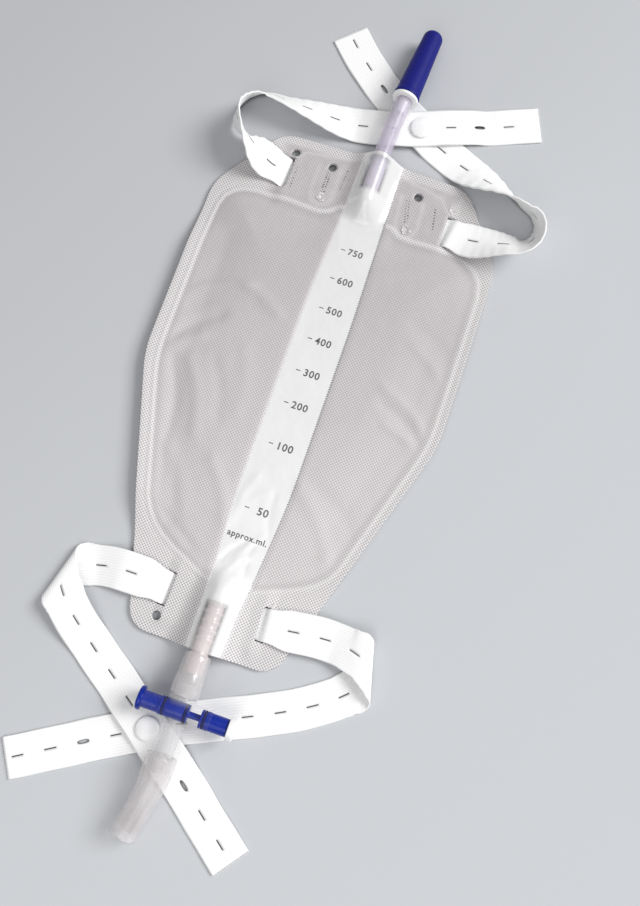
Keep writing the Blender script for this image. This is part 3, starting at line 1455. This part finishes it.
        mesh.uv_layers.new(name="run").data.foreach_set("uv", uv[corners].astype(np.float32).ravel())
        return thickened(mesh, SHAPE.strap_thick * 0.92)

    def ends(self) -> Mesh:
        """Points along the two cut ends, with the way that the fibres stand there."""
        points, turns = [], []
        for station, way in ((self.fine[0], -1), (self.fine[-1], 1)):
            heading = atan2(station.ahead.y * way, station.ahead.x * way)
            for k in range(70):
                u = (k + 0.5) / 70 * 2 - 1
                points.append(station.centre + station.across * u * station.width / 2)
                turns += [0.0, pi / 2, heading]
        mesh = plain_mesh("ends", points)
        mesh.attributes.new("turn", "FLOAT_VECTOR", "POINT").data.foreach_set("vector", turns)
        return mesh

    def build(self) -> None:
        """Makes the strap and the frayed fibres of its two ends."""
        piece = finish_piece(self.mesh(), self.name + "_webbing", ELASTIC, Body.BAG, (self.name,))
        fibres = FRAY.grown(self.ends(), FIBRE)
        fringe = finish_piece(fibres, self.name + "_fibres", FIBRE, Body.BAG, shade_smooth=False)


class NodeTree:
    """A small Geometry Nodes tree that sets a shape on each point of a mesh."""

    def __init__(self, name: str, sizes: dict[str, float], shape: Callable[["NodeTree"], Socket]) -> None:
        """Builds the tree.

        Args:
            name: The tree's name.
            sizes: Named inputs and their values.
            shape: Adds the nodes of the shape that is repeated, and returns its geometry.
        """
        self.tree = bpy.data.node_groups.new(name, "GeometryNodeTree")
        face = self.tree.interface
        face.new_socket("Geometry", in_out="INPUT", socket_type="NodeSocketGeometry")
        face.new_socket("Geometry", in_out="OUTPUT", socket_type="NodeSocketGeometry")
        self.values: dict[str, float] = {}
        for key, value in sizes.items():
            made = face.new_socket(key, in_out="INPUT", socket_type="NodeSocketFloat")
            self.values[made.identifier] = value
        self.stuff = face.new_socket("Finish", in_out="INPUT", socket_type="NodeSocketMaterial").identifier
        self.given = self.add("NodeGroupInput").outputs
        points = self.add("GeometryNodeMeshToPoints", {"Mesh": self.given["Geometry"]})
        turn = self.add("GeometryNodeInputNamedAttribute", {"Name": "turn"}, data_type="FLOAT_VECTOR")
        wobble = self.random("FLOAT_VECTOR", 3, {"Min": (-0.35, -0.35, -0.5), "Max": (0.35, 0.35, 0.5)})
        scatter = self.add("ShaderNodeCombineXYZ", {axis: self.given["Scatter"] for axis in "XYZ"})
        parts = {0: wobble.outputs[0], 1: scatter.outputs[0], 2: turn.outputs["Attribute"]}
        angle = self.add("ShaderNodeVectorMath", parts, operation="MULTIPLY_ADD")
        size = self.random("FLOAT", 8, {2: 0.35, 3: 1.0})
        parts = {"Points": points.outputs[0], "Instance": shape(self)}
        parts |= {"Rotation": angle.outputs[0], "Scale": size.outputs[1]}
        real = self.add("GeometryNodeRealizeInstances", {0: self.add("GeometryNodeInstanceOnPoints", parts).outputs[0]})
        dress = self.add("GeometryNodeSetMaterial", {"Geometry": real.outputs[0], "Material": self.given["Finish"]})
        self.add("NodeGroupOutput", {0: dress.outputs[0]})

    def add(self, kind: str, inputs: dict[str | int, object] | None = None, **options: str) -> bpy.types.Node:
        """Adds a node.

        Args:
            kind: The node's type.
            inputs: Values or sockets for its inputs, by name or number.
            options: Its own properties.

        Returns:
            The node.
        """
        node = self.tree.nodes.new(kind)
        for key, value in options.items():
            setattr(node, key, value)
        for key, value in (inputs or {}).items():
            if isinstance(value, Socket):
                self.tree.links.new(value, node.inputs[key])
            else:
                node.inputs[key].default_value = value
        return node

    def random(self, kind: str, seed: int, span: dict[str | int, object]) -> bpy.types.Node:
        """A random value between two, with a fixed seed."""
        return self.add("FunctionNodeRandomValue", {**span, "Seed": seed}, data_type=kind)

    def grown(self, mesh: Mesh, finish: Finish) -> Mesh:
        """The plain mesh that the tree makes on the points of another."""

        def add(passing: Object) -> None:
            """Sets the tree's inputs."""
            grow = passing.modifiers.new("grow", "NODES")
            grow.node_group = self.tree
            for identifier, value in self.values.items():
                grow[identifier] = value
            grow[self.stuff] = finish.made()

        return with_modifiers(mesh, add)


def fibre_shape(tree: NodeTree) -> Socket:
    """A thin fibre that starts at its point."""
    sizes = {"Radius Bottom": tree.given["Radius"], "Depth": tree.given["Length"]}
    return tree.add("GeometryNodeMeshCone", {"Vertices": 5, "Side Segments": 2, **sizes}).outputs["Mesh"]


def dimple_shape(tree: NodeTree) -> Socket:
    """A flat round bead."""
    ball = tree.add("GeometryNodeMeshIcoSphere", {"Subdivisions": 2, "Radius": tree.given["Radius"]})
    low = tree.add("ShaderNodeCombineXYZ", {"X": 1.0, "Y": 1.0, "Z": tree.given["Length"]})
    parts = {"Geometry": ball.outputs["Mesh"], "Scale": low.outputs[0]}
    return tree.add("GeometryNodeTransform", parts).outputs[0]


FRAY = NodeTree("frayed_end", {"Radius": 0.09 * MM, "Length": 1.7 * MM, "Scatter": 1.0}, fibre_shape)
DIMPLES = NodeTree("pressed_dots", {"Radius": 0.46 * MM, "Length": 0.25, "Scatter": 0.0}, dimple_shape)
BLOBS = NodeTree("melted_blobs", {"Radius": 0.8 * MM, "Length": 0.4, "Scatter": 0.5}, dimple_shape)


class PressedMarks:
    """Rows of small punched dots and rough round weld marks in the tabs, placed in millimetres."""

    rows: tuple[tuple[float, float, float, float, int], ...] = (
        (-20.9, 242.6, -20.7, 231.6, 9),
        (-19.5, 242.0, -19.3, 232.2, 8),
        (21.4, 241.0, 24.0, 229.8, 9),
        (22.8, 241.0, 25.2, 230.6, 8),
        (-36.4, 240.5, -36.4, 229.5, 8),
        (-11.6, 246.0, -12.2, 236.0, 8),
        (36.6, 241.0, 38.4, 230.5, 8),
    )
    spots: tuple[tuple[float, float, float], ...] = (
        (-20.6, 228.8, 2.3),
        (25.2, 225.8, 2.5),
        (44.3, 243.4, 1.7),
        (25.4, 29.2, 1.2),
    )

    def build(self) -> None:
        """Makes the dark dots as one piece on the two covers and the pale weld marks as another."""
        places = [
            (mix(ax, bx, k / (count - 1)), mix(ay, by, k / (count - 1)))
            for ax, ay, bx, by, count in self.rows
            for k in range(count)
        ]
        self.lay(places, DIMPLES, PRESSED, "pressed_dots")
        places = []
        for x, y, radius in self.spots:
            for k in range(16):
                a, r = 2.4 * k, radius * (0.55 + 0.45 * cos(5.1 * k))
                places.append((x + r * cos(a), y + r * sin(a)))
        self.lay(places, BLOBS, WELDED, "weld_marks")

    def lay(self, places: Sequence[tuple[float, float]], tree: NodeTree, finish: Finish, name: str) -> None:
        """Sets a tree's shape on the covers at each place."""
        s = SHAPE
        x, y = np.array(places).T * MM
        stack = s.valve_bed + s.film + s.layer_gap + s.cover + 0.02 * MM
        z = s.front_height(x, y, s.pouch_depth(x, y), creased=False) + stack
        mesh = plain_mesh("dots", np.stack([x, s.top_edge(x, y), z], 1))
        mesh.attributes.new("turn", "FLOAT_VECTOR", "POINT")
        finish_piece(tree.grown(mesh, finish), name, finish, Body.BAG)


UPPER_BUTTON = (16.3 * MM, SHAPE.length + 24.7 * MM)
LOWER_BUTTON = (-10.2 * MM, -39.9 * MM)


def straps() -> list[Strap]:
    """The two straps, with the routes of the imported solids."""
    s = SHAPE
    left, right = float(s.half_width(9.5 * MM)), float(s.half_width(8.5 * MM))
    upper_left = StrapArm(
        slot=s.slot(True, -1), leave=168,
        centre=(-61.2 * MM, s.length + 2.4 * MM), radius=12.6 * MM, spin=-1, turn_in=130, turn_out=-2,
        button=UPPER_BUTTON, heading=21, free=61 * MM, free_turn=2, over=True,
        bank_in=98, bank_out=126, untwist=52 * MM,
    )
    upper_right = StrapArm(
        slot=s.slot(True, 1), leave=-9,
        centre=(77.8 * MM, s.length - 13.2 * MM), radius=10.2 * MM, spin=1, turn_in=12, turn_out=158,
        button=UPPER_BUTTON, heading=151, free=66 * MM, free_turn=-18, over=False,
        bank_in=42, bank_out=106, untwist=48 * MM,
    )
    lower_left = StrapArm(
        slot=s.slot(False, -1), leave=173,
        centre=(-left - 35.4 * MM, 13.6 * MM), radius=2.4 * MM, spin=1, turn_in=210, turn_out=300,
        button=LOWER_BUTTON, heading=322.5, free=69 * MM, free_turn=0, over=True,
        fold=255, fold_up=True,
    )
    lower_right = StrapArm(
        slot=s.slot(False, 1), leave=4,
        centre=(right + 39.7 * MM, 15.7 * MM), radius=2.4 * MM, spin=-1, turn_in=-32, turn_out=-119.2,
        button=LOWER_BUTTON, heading=-150, free=65.5 * MM, free_turn=1, over=False,
        fold=-75.6, fold_up=False,
    )
    return [Strap("upper_strap", upper_left, upper_right), Strap("lower_strap", lower_left, lower_right)]


@dataclass(frozen=True)
class Button:
    """A two-piece button that holds the two arms of a strap together."""

    name: str
    x: float
    y: float
    radius: float = 5.5 * MM
    height: float = 1.9 * MM
    base: float = 3.4 * MM

    def build(self) -> None:
        """Makes the domed head with its stud, and the back."""
        r, base, high = self.radius, self.base, self.height
        profile = [(0, 0.1 * MM), (1.4 * MM, 0.1 * MM), (1.4 * MM, base), (r - 0.25 * MM, base), (r, base + 0.25 * MM)]
        profile += [(r * cos(a), base + high * (0.42 + 0.58 * sin(a))) for a in np.linspace(0.0, pi / 2, 12)[:-1]]
        profile.append((0.0, base + high))
        place = Matrix.Translation((self.x, self.y, 0))
        finish_piece(lathe(profile, place, closed=False), self.name + "_head", WHITE, Body.BAG, (self.name,))
        profile = [(1.7 * MM, 0.0), (4.4 * MM, 0.0), (4.4 * MM, 0.6 * MM), (1.7 * MM, 0.6 * MM)]
        back = lathe(profile, place, soften=0.15 * MM)
        finish_piece(back, self.name + "_washer", WHITE, Body.BAG, (self.name + "_back",))


# Inlet


@dataclass(frozen=True)
class Inlet:
    """The inlet tube, its stepped connector and the pull-off cap."""

    reach: float = 31.2 * MM
    lean: float = radians(4.3)
    dip: float = radians(2.5)
    seat: float = 9.0 * MM
    wall: float = 1.1 * MM
    flange: float = 1.5 * MM
    flange_radius: float = 6.7 * MM
    taper: float = 33.0 * MM
    cap_length: float = 40.0 * MM
    rim: float = 6.7 * MM
    tip: float = 5.1 * MM

    @property
    def pull(self) -> Vector:
        """The way in which the cap pulls off."""
        return Vector((sin(self.lean) * cos(self.dip), cos(self.lean) * cos(self.dip), -sin(self.dip)))

    @property
    def flange_place(self) -> Vector:
        """Where the connector's flange stands."""
        s = SHAPE
        return Vector((s.inlet_x + self.reach * 0.055, s.length + s.top_rise + self.reach, s.cap_axis))

    def build(self) -> None:
        """Makes the three pieces."""
        self.tube()
        stand = turned_to(self.pull, self.flange_place)
        self.connector(stand)
        self.cap(stand)

    def tube(self) -> None:
        """The soft tube, level in the bag and then rising over the strap."""
        s = SHAPE
        start = Vector((s.inlet_x, s.length - s.inlet_inside, s.inlet_axis))
        level = Vector((s.inlet_x, s.length + s.top_rise, s.inlet_axis))
        out = self.flange_place - self.pull * s.seat_gap
        seat = out - self.pull * self.seat
        path = [start.lerp(level, k / 8) for k in range(9)]
        span = (seat - level).length
        path += eased_line(level, Vector((0, span, 0)), seat, self.pull * span, 22)
        path += [seat.lerp(out, k / 4) for k in range(1, 5)]
        outer = [s.inlet_radius] * len(path)
        outer[0] -= 0.25 * MM
        outer[-1] -= 0.1 * MM
        inner = [s.inlet_radius - self.wall] * len(path)
        mesh = swept(path, outer, inner)
        along = np.array([v.co.y for v in mesh.vertices])
        set_share(mesh, "milk", smooth((s.length - 2 * MM - along) / (3 * MM)))
        finish_piece(mesh, "inlet_soft_tube", LILAC, Body.BAG, ("inlet_tube",))

    def connector(self, place: Matrix) -> None:
        """The stem in the tube, the flange and the ridged taper under the cap."""
        bore, stem = 2.2 * MM, SHAPE.inlet_radius - self.wall - 0.2 * MM
        profile = [(bore, -self.seat + 1 * MM), (stem, -self.seat + 1 * MM), (stem, 0.0)]
        profile += [(self.flange_radius, 0.0), (self.flange_radius, self.flange), (4.3 * MM, self.flange)]
        step = (self.taper - 8 * MM) / 5
        for k in range(5):
            radius = mix(4.3, 3.3, (k + 0.5) / 5) * MM
            z = self.flange + 4 * MM + k * step
            profile += [(radius, z), (radius + 0.35 * MM, z + 0.5 * MM), (radius, z + step * 0.85)]
        profile += [(3.3 * MM, self.taper), (bore, self.taper)]
        finish_piece(lathe(profile, place), "stepped_connector", WHITE, Body.BAG, ("inlet_connector",))

    def cap(self, place: Matrix) -> None:
        """The dark tapered cap with a rounded end and fine grip lines."""
        seat = self.flange + SHAPE.seat_gap
        end, wall, dome = seat + self.cap_length, 1.1 * MM, 3.4 * MM
        roof = end - wall * 2
        profile = [(self.rim - wall, seat), (self.rim, seat), (self.rim, seat + 1.6 * MM)]
        profile.append((self.rim - 0.35 * MM, seat + 2.4 * MM))
        angles = [pi / 2 * k / 9 for k in range(9)]
        profile += [(self.tip - dome + dome * cos(a), end - dome + dome * sin(a)) for a in angles]
        profile += [(self.tip - dome, end), (0, end), (0, roof)]
        profile += [(self.tip - wall - 1.2 * MM, roof), (self.tip - wall, roof - 1.5 * MM)]

        def grip(angle: float, z: float) -> float:
            """A shallow flute, only between the rim and the dome."""
            share = float(smooth((z - seat - 3 * MM) / (4 * MM)) * smooth((end - 6 * MM - z) / (4 * MM)))
            return -0.05 * MM * share * (0.5 + 0.5 * cos(14 * angle))

        mesh = lathe(profile, place, steps=84, flute=grip)
        finish_piece(mesh, "pull_off_cap", NAVY, Body.CAP, ("inlet_cap",))


# Outlet and tap


@dataclass(frozen=True)
class Outlet:
    """The ribbed port, the sleeve, the push tap and the soft outlet tube."""

    sleeve_start: float = 1.4 * MM
    sleeve_length: float = 19.2 * MM
    drop: float = 27.3 * MM
    left: float = 16.6 * MM
    right: float = 15.4 * MM
    barrel: float = 5.5 * MM
    bore: float = 4.45 * MM
    channel: float = 2.5 * MM
    spigot: float = 4.9 * MM
    neck: float = 4.7 * MM
    neck_run: float = 14.6 * MM
    neck_seat: float = 7.0 * MM
    slide_gap: float = 0.2 * MM
    piston_top: float = 8.7 * MM

    @property
    def place(self) -> Vector:
        """Where the tap's two axes cross."""
        return Vector((SHAPE.outlet_x, -self.drop, SHAPE.tap_axis))

    @property
    def across(self) -> Matrix:
        """The frame of the spool, whose Z points to the left."""
        return Matrix.Translation(self.place) @ Matrix.Rotation(-pi / 2, 4, "Y")

    @property
    def along(self) -> Matrix:
        """The frame of the flow, whose Z points down to the outlet."""
        return Matrix.Translation(self.place) @ Matrix.Rotation(pi / 2, 4, "X")

    def build(self) -> None:
        """Makes every piece."""
        self.port()
        self.sleeve()
        self.body()
        self.spool()
        self.hose()

    def port_ends(self) -> tuple[Vector, Vector]:
        """The port's end in the bag, and its end in the sleeve."""
        s = SHAPE
        out = -s.port_drop
        inside = Vector((s.outlet_x, s.port_inside, float(s.port_line(s.port_inside))))
        return inside, Vector((s.outlet_x, out, float(s.port_line(out))))

    def port(self) -> None:
        """The ribbed port."""
        start, end = self.port_ends()
        length = (end - start).length
        bore, radius, rib = 2.9 * MM, 4.2 * MM, 0.5 * MM
        profile = [(bore, 0.0), (radius, 0.0)]
        for k in range(5):
            z = 1.6 * MM + k * 4.2 * MM
            profile += [(radius, z), (radius + rib, z + 0.5 * MM), (radius + rib, z + 1.7 * MM), (radius, z + 2.2 * MM)]
        profile += [(radius, length - 9.6 * MM), (4.7 * MM, length - 8.6 * MM), (4.7 * MM, length), (bore, length)]
        mesh = lathe(profile, turned_to(end - start, start), soften=0.5 * MM)
        finish_piece(mesh, "ribbed_port", PINK, Body.BAG, ("outlet_port",))

    def sleeve(self) -> None:
        """The frosted sleeve that joins the port to the tap."""
        s = SHAPE
        start, end = self.port_ends()
        top = Vector((s.outlet_x, -self.sleeve_start, float(s.port_line(-self.sleeve_start))))
        low = Vector((s.outlet_x, -self.sleeve_start - self.sleeve_length, s.tap_axis))
        spigot_top = low + Vector((0, 6.4 * MM, 0))
        way = (end - start).normalized()
        middle = top + way * 9.0 * MM
        path = [top.lerp(middle, k / 8) for k in range(9)]
        path += [middle.lerp(spigot_top, k / 5) + Vector((0, 0, 0.08 * MM * sin(pi * k / 5))) for k in range(1, 5)]
        path += [spigot_top.lerp(low, k / 6) for k in range(7)]
        share = np.linspace(0, 1, len(path))
        outer = mix(6.2 * MM, 6.8 * MM, smooth(share))
        outer[0] -= 0.5 * MM
        outer[1] -= 0.15 * MM
        outer[-1] -= 0.2 * MM
        inner = np.where(share < 0.5, 4.95 * MM, 5.15 * MM)
        finish_piece(swept(path, outer, inner), "frosted_sleeve", SLEEVE, Body.BAG, ("outlet_sleeve",))

    def body(self) -> None:
        """The tap's clear T: a barrel across the flow, joined to a spigot and a neck."""
        b, r, left, right = self.barrel, self.spigot, self.left, self.right
        low = b - 0.4 * MM
        profile = [(0, -right), (b, -right), (b, -right + 1.2 * MM), (low, -right + 1.6 * MM)]
        profile += [(low, -r - 1 * MM), (b, -r), (b, r), (low, r + 1 * MM)]
        profile += [(low, left - 1.6 * MM), (b, left - 1.2 * MM), (b, left), (0, left)]
        spigot_end = self.drop - self.sleeve_start - self.sleeve_length + 5.9 * MM
        shoulder = b + self.neck_run
        neck_end = shoulder + self.neck_seat
        collar = b + 0.9 * MM
        flow = [(0, -spigot_end), (r - 0.4 * MM, -spigot_end), (r, -spigot_end + 0.8 * MM), (r, -collar - 0.2 * MM)]
        flow += [(6.4 * MM, -collar), (6.4 * MM, -2 * MM), (self.neck + 0.6 * MM, 2 * MM)]
        flow += [(self.neck + 0.6 * MM, b + 1 * MM), (self.neck, b + 2 * MM), (self.neck, shoulder)]
        flow += [(self.neck + 0.5 * MM, shoulder + 1.5 * MM), (self.neck - 0.3 * MM, neck_end), (0, neck_end)]
        hollow = [(0, -spigot_end - 2 * MM), (self.channel, -spigot_end - 2 * MM)]
        hollow += [(self.channel, neck_end + 2 * MM), (0, neck_end + 2 * MM)]
        bore = [(0, -right - 2 * MM), (self.bore, -right - 2 * MM), (self.bore, left + 2 * MM), (0, left + 2 * MM)]
        cutters = (
            (lathe(flow, self.along, closed=False), "UNION"),
            (lathe(hollow, self.along, closed=False, soften=0.0), "DIFFERENCE"),
            (lathe(bore, self.across, closed=False, soften=0.0), "DIFFERENCE"),
        )
        helpers = []

        def join(passing: Object) -> None:
            """Joins the flow's shape to the barrel and cuts the two hollows."""
            for mesh, operation in cutters:
                helpers.append(linked("cutter", mesh))
                change = passing.modifiers.new(operation, "BOOLEAN")
                change.operation, change.solver, change.object = operation, "EXACT", helpers[-1]

        mesh = with_modifiers(lathe(profile, self.across, closed=False), join)
        for helper in helpers:
            bpy.data.objects.remove(helper, do_unlink=True)
        off = np.array([abs(v.co.y + self.drop) for v in mesh.vertices])
        set_share(mesh, "milk", smooth((off - b + 0.4 * MM) / (0.8 * MM)))
        piece = finish_piece(mesh, "clear_tap_body", BARREL, Body.BAG, ("tap_body",))
        piece.data.set_sharp_from_angle(angle=radians(35))

    def spool(self) -> None:
        """The blue spool with its flange, pistons, waist and end block, its seals and its white end."""
        piston, groove = self.bore - self.slide_gap, self.bore - self.slide_gap - 1.0 * MM
        start, block = self.left + SHAPE.seat_gap, -(self.right + SHAPE.seat_gap)
        first, waist, second = self.piston_top, self.piston_top - 13.4 * MM, self.piston_top - 19.1 * MM
        rings = (first - 1.8 * MM, waist + 1.2 * MM, second - 1.8 * MM)

        def grooved(top: float, low: float, places: Sequence[float]) -> list[tuple[float, float]]:
            """Outline of a piston down its side, with a groove at each place."""
            line, half = [(piston, top)], 0.65 * MM
            for z in places:
                line += [(piston, z + half), (groove, z + half), (groove, z - half), (piston, z - half)]
            return line + [(piston, low)]

        profile = [(0, start + 2.1 * MM), (4.9 * MM, start + 2.1 * MM), (5.4 * MM, start + 1.6 * MM), (5.4 * MM, start)]
        profile += [(3.9 * MM, start), (3.9 * MM, first)] + grooved(first, waist, rings[:2])
        profile += [(1.5 * MM, waist), (1.5 * MM, second)] + grooved(second, block + 0.9 * MM, rings[2:])
        profile += [(4.05 * MM, block + 0.9 * MM), (4.05 * MM, block - 7.6 * MM), (2.0 * MM, block - 7.6 * MM)]
        profile += [(2.0 * MM, block - 9.58 * MM), (0, block - 9.58 * MM)]
        mesh = lathe(profile, self.across, closed=False, soften=0.2 * MM)
        finish_piece(mesh, "blue_spool", BLUE, Body.SLIDER, ("tap_spool",))
        face, long = block - 7.6 * MM - SHAPE.seat_gap, 3.3 * MM
        end, hollow = face - long, face - long * 0.62 - SHAPE.seat_gap
        profile = [(2.25 * MM, face), (5.3 * MM, face), (5.3 * MM, end + 0.6 * MM), (4.7 * MM, end), (0, end)]
        profile += [(0, hollow), (2.25 * MM, hollow)]
        finish_piece(lathe(profile, self.across), "white_spool_end", WHITE, Body.SLIDER, ("tap_end_cap",))
        middle, thick = groove + 0.56 * MM, 0.5 * MM
        angles = np.linspace(0, 2 * pi, 12, endpoint=False)
        for z, name in zip(rings, ("tap_seal_left", "tap_seal_middle", "tap_seal_right")):
            ring = [(middle + thick * cos(a), z + thick * sin(a)) for a in angles]
            mesh = lathe(ring, self.across, soften=0.0)
            finish_piece(mesh, name + "_ring", SEAL, Body.SLIDER, (name,))

    def hose(self) -> None:
        """The soft outlet tube: pushed over the neck, then bending down and to the left."""
        top = self.place + Vector((0, -(self.barrel + self.neck_run), 0))
        seat = top + Vector((0, -self.neck_seat, 0))
        low = Vector((top.x - 5.4 * MM, top.y - 38 * MM, 6.2 * MM))
        span, way = (low - seat).length, (low - seat).normalized()
        path = [top.lerp(seat, k / 8) for k in range(9)]
        path += eased_line(seat, Vector((0, -span, 0)), low, way * span, 26)
        run = np.array(distances(path))
        outer = mix(7.1 * MM, 6.2 * MM, smooth((run - 6.5 * MM) / (14 * MM)))
        inner = mix(5.45 * MM, 4.7 * MM, smooth((run - 7 * MM) / (5 * MM)))
        outer[0] -= 0.35 * MM
        outer[-1] -= 0.15 * MM
        mesh = swept(path, outer, inner, rough_end=0.25 * MM)
        finish_piece(mesh, "soft_outlet_hose", HOSE, Body.BAG, ("outlet_tube",))


# Studio


@dataclass(frozen=True)
class Studio:
    """The paper floor, the soft lights and the camera of the photograph."""

    eye: tuple[float, float, float] = (50.16 * MM, 23.33 * MM, 446.98 * MM)
    target: tuple[float, float, float] = (21.94 * MM, 105.50 * MM, 0.0)
    lens: float = 37.75

    def build(self) -> None:
        """Makes everything that isn't part of the bag."""
        self.floor()
        self.lights()
        self.camera()

    def floor(self) -> None:
        """A wide sheet of paper just under the bag."""
        side, z = 3.0, -0.05 * MM
        corners = [(-side, -side, z), (side, -side, z), (side, side, z), (-side, side, z)]
        mesh = plain_mesh("paper", corners, [(0, 1, 2, 3)])
        mesh.materials.append(PAPER.made())
        paper = linked("studio_floor", mesh)

    def lamp(self, name: str, place: tuple[float, float, float], size: float, power: float) -> None:
        """Adds a square soft light that points at the bag."""
        light = bpy.data.lights.new(name, "AREA")
        light.shape, light.size, light.energy = "SQUARE", size, power
        lamp = linked(name, light)
        lamp.location = place
        lamp.rotation_euler = (-Vector(place)).to_track_quat("-Z", "Y").to_euler()

    def lights(self) -> None:
        """A large soft light from the upper right, a weaker one from the left, and an even world."""
        self.lamp("key_light", (2.55, 1.55, 2.6), 2.0, 128.0)
        self.lamp("fill_light", (0.05, -0.8, 0.95), 0.9, 4.4)
        world = bpy.data.worlds.new("even_light")
        world.use_nodes = True
        back = world.node_tree.nodes["Background"]
        back.inputs["Color"].default_value = (1.0, 1.0, 1.0, 1.0)
        back.inputs["Strength"].default_value = 0.38
        bpy.context.scene.world = world

    def camera(self) -> None:
        """The camera at the photograph's viewing angle."""
        data = bpy.data.cameras.new("camera")
        data.lens, data.sensor_width, data.clip_start = self.lens, 36.0, 0.01
        made = linked("camera", data)
        eye, target = Vector(self.eye) + ORIGIN, Vector(self.target) + ORIGIN
        made.location = eye
        made.rotation_euler = (target - eye).to_track_quat("-Z", "Y").to_euler()
        bpy.context.scene.camera = made


def main() -> None:
    """Builds the pieces in order, then the studio."""
    logging.basicConfig(level=logging.INFO, format="%(name)s: %(message)s")
    bpy.context.scene.view_settings.view_transform = "Standard"
    Studio().build()
    Films(SHAPE).build()
    Covers(SHAPE).build()
    Scale().build()
    PressedMarks().build()
    for strap in straps():
        strap.build()
    Button("upper_button", *UPPER_BUTTON).build()
    Button("lower_button", *LOWER_BUTTON).build()
    Inlet().build()
    Outlet().build()


if __name__ == "__main__":
    main()
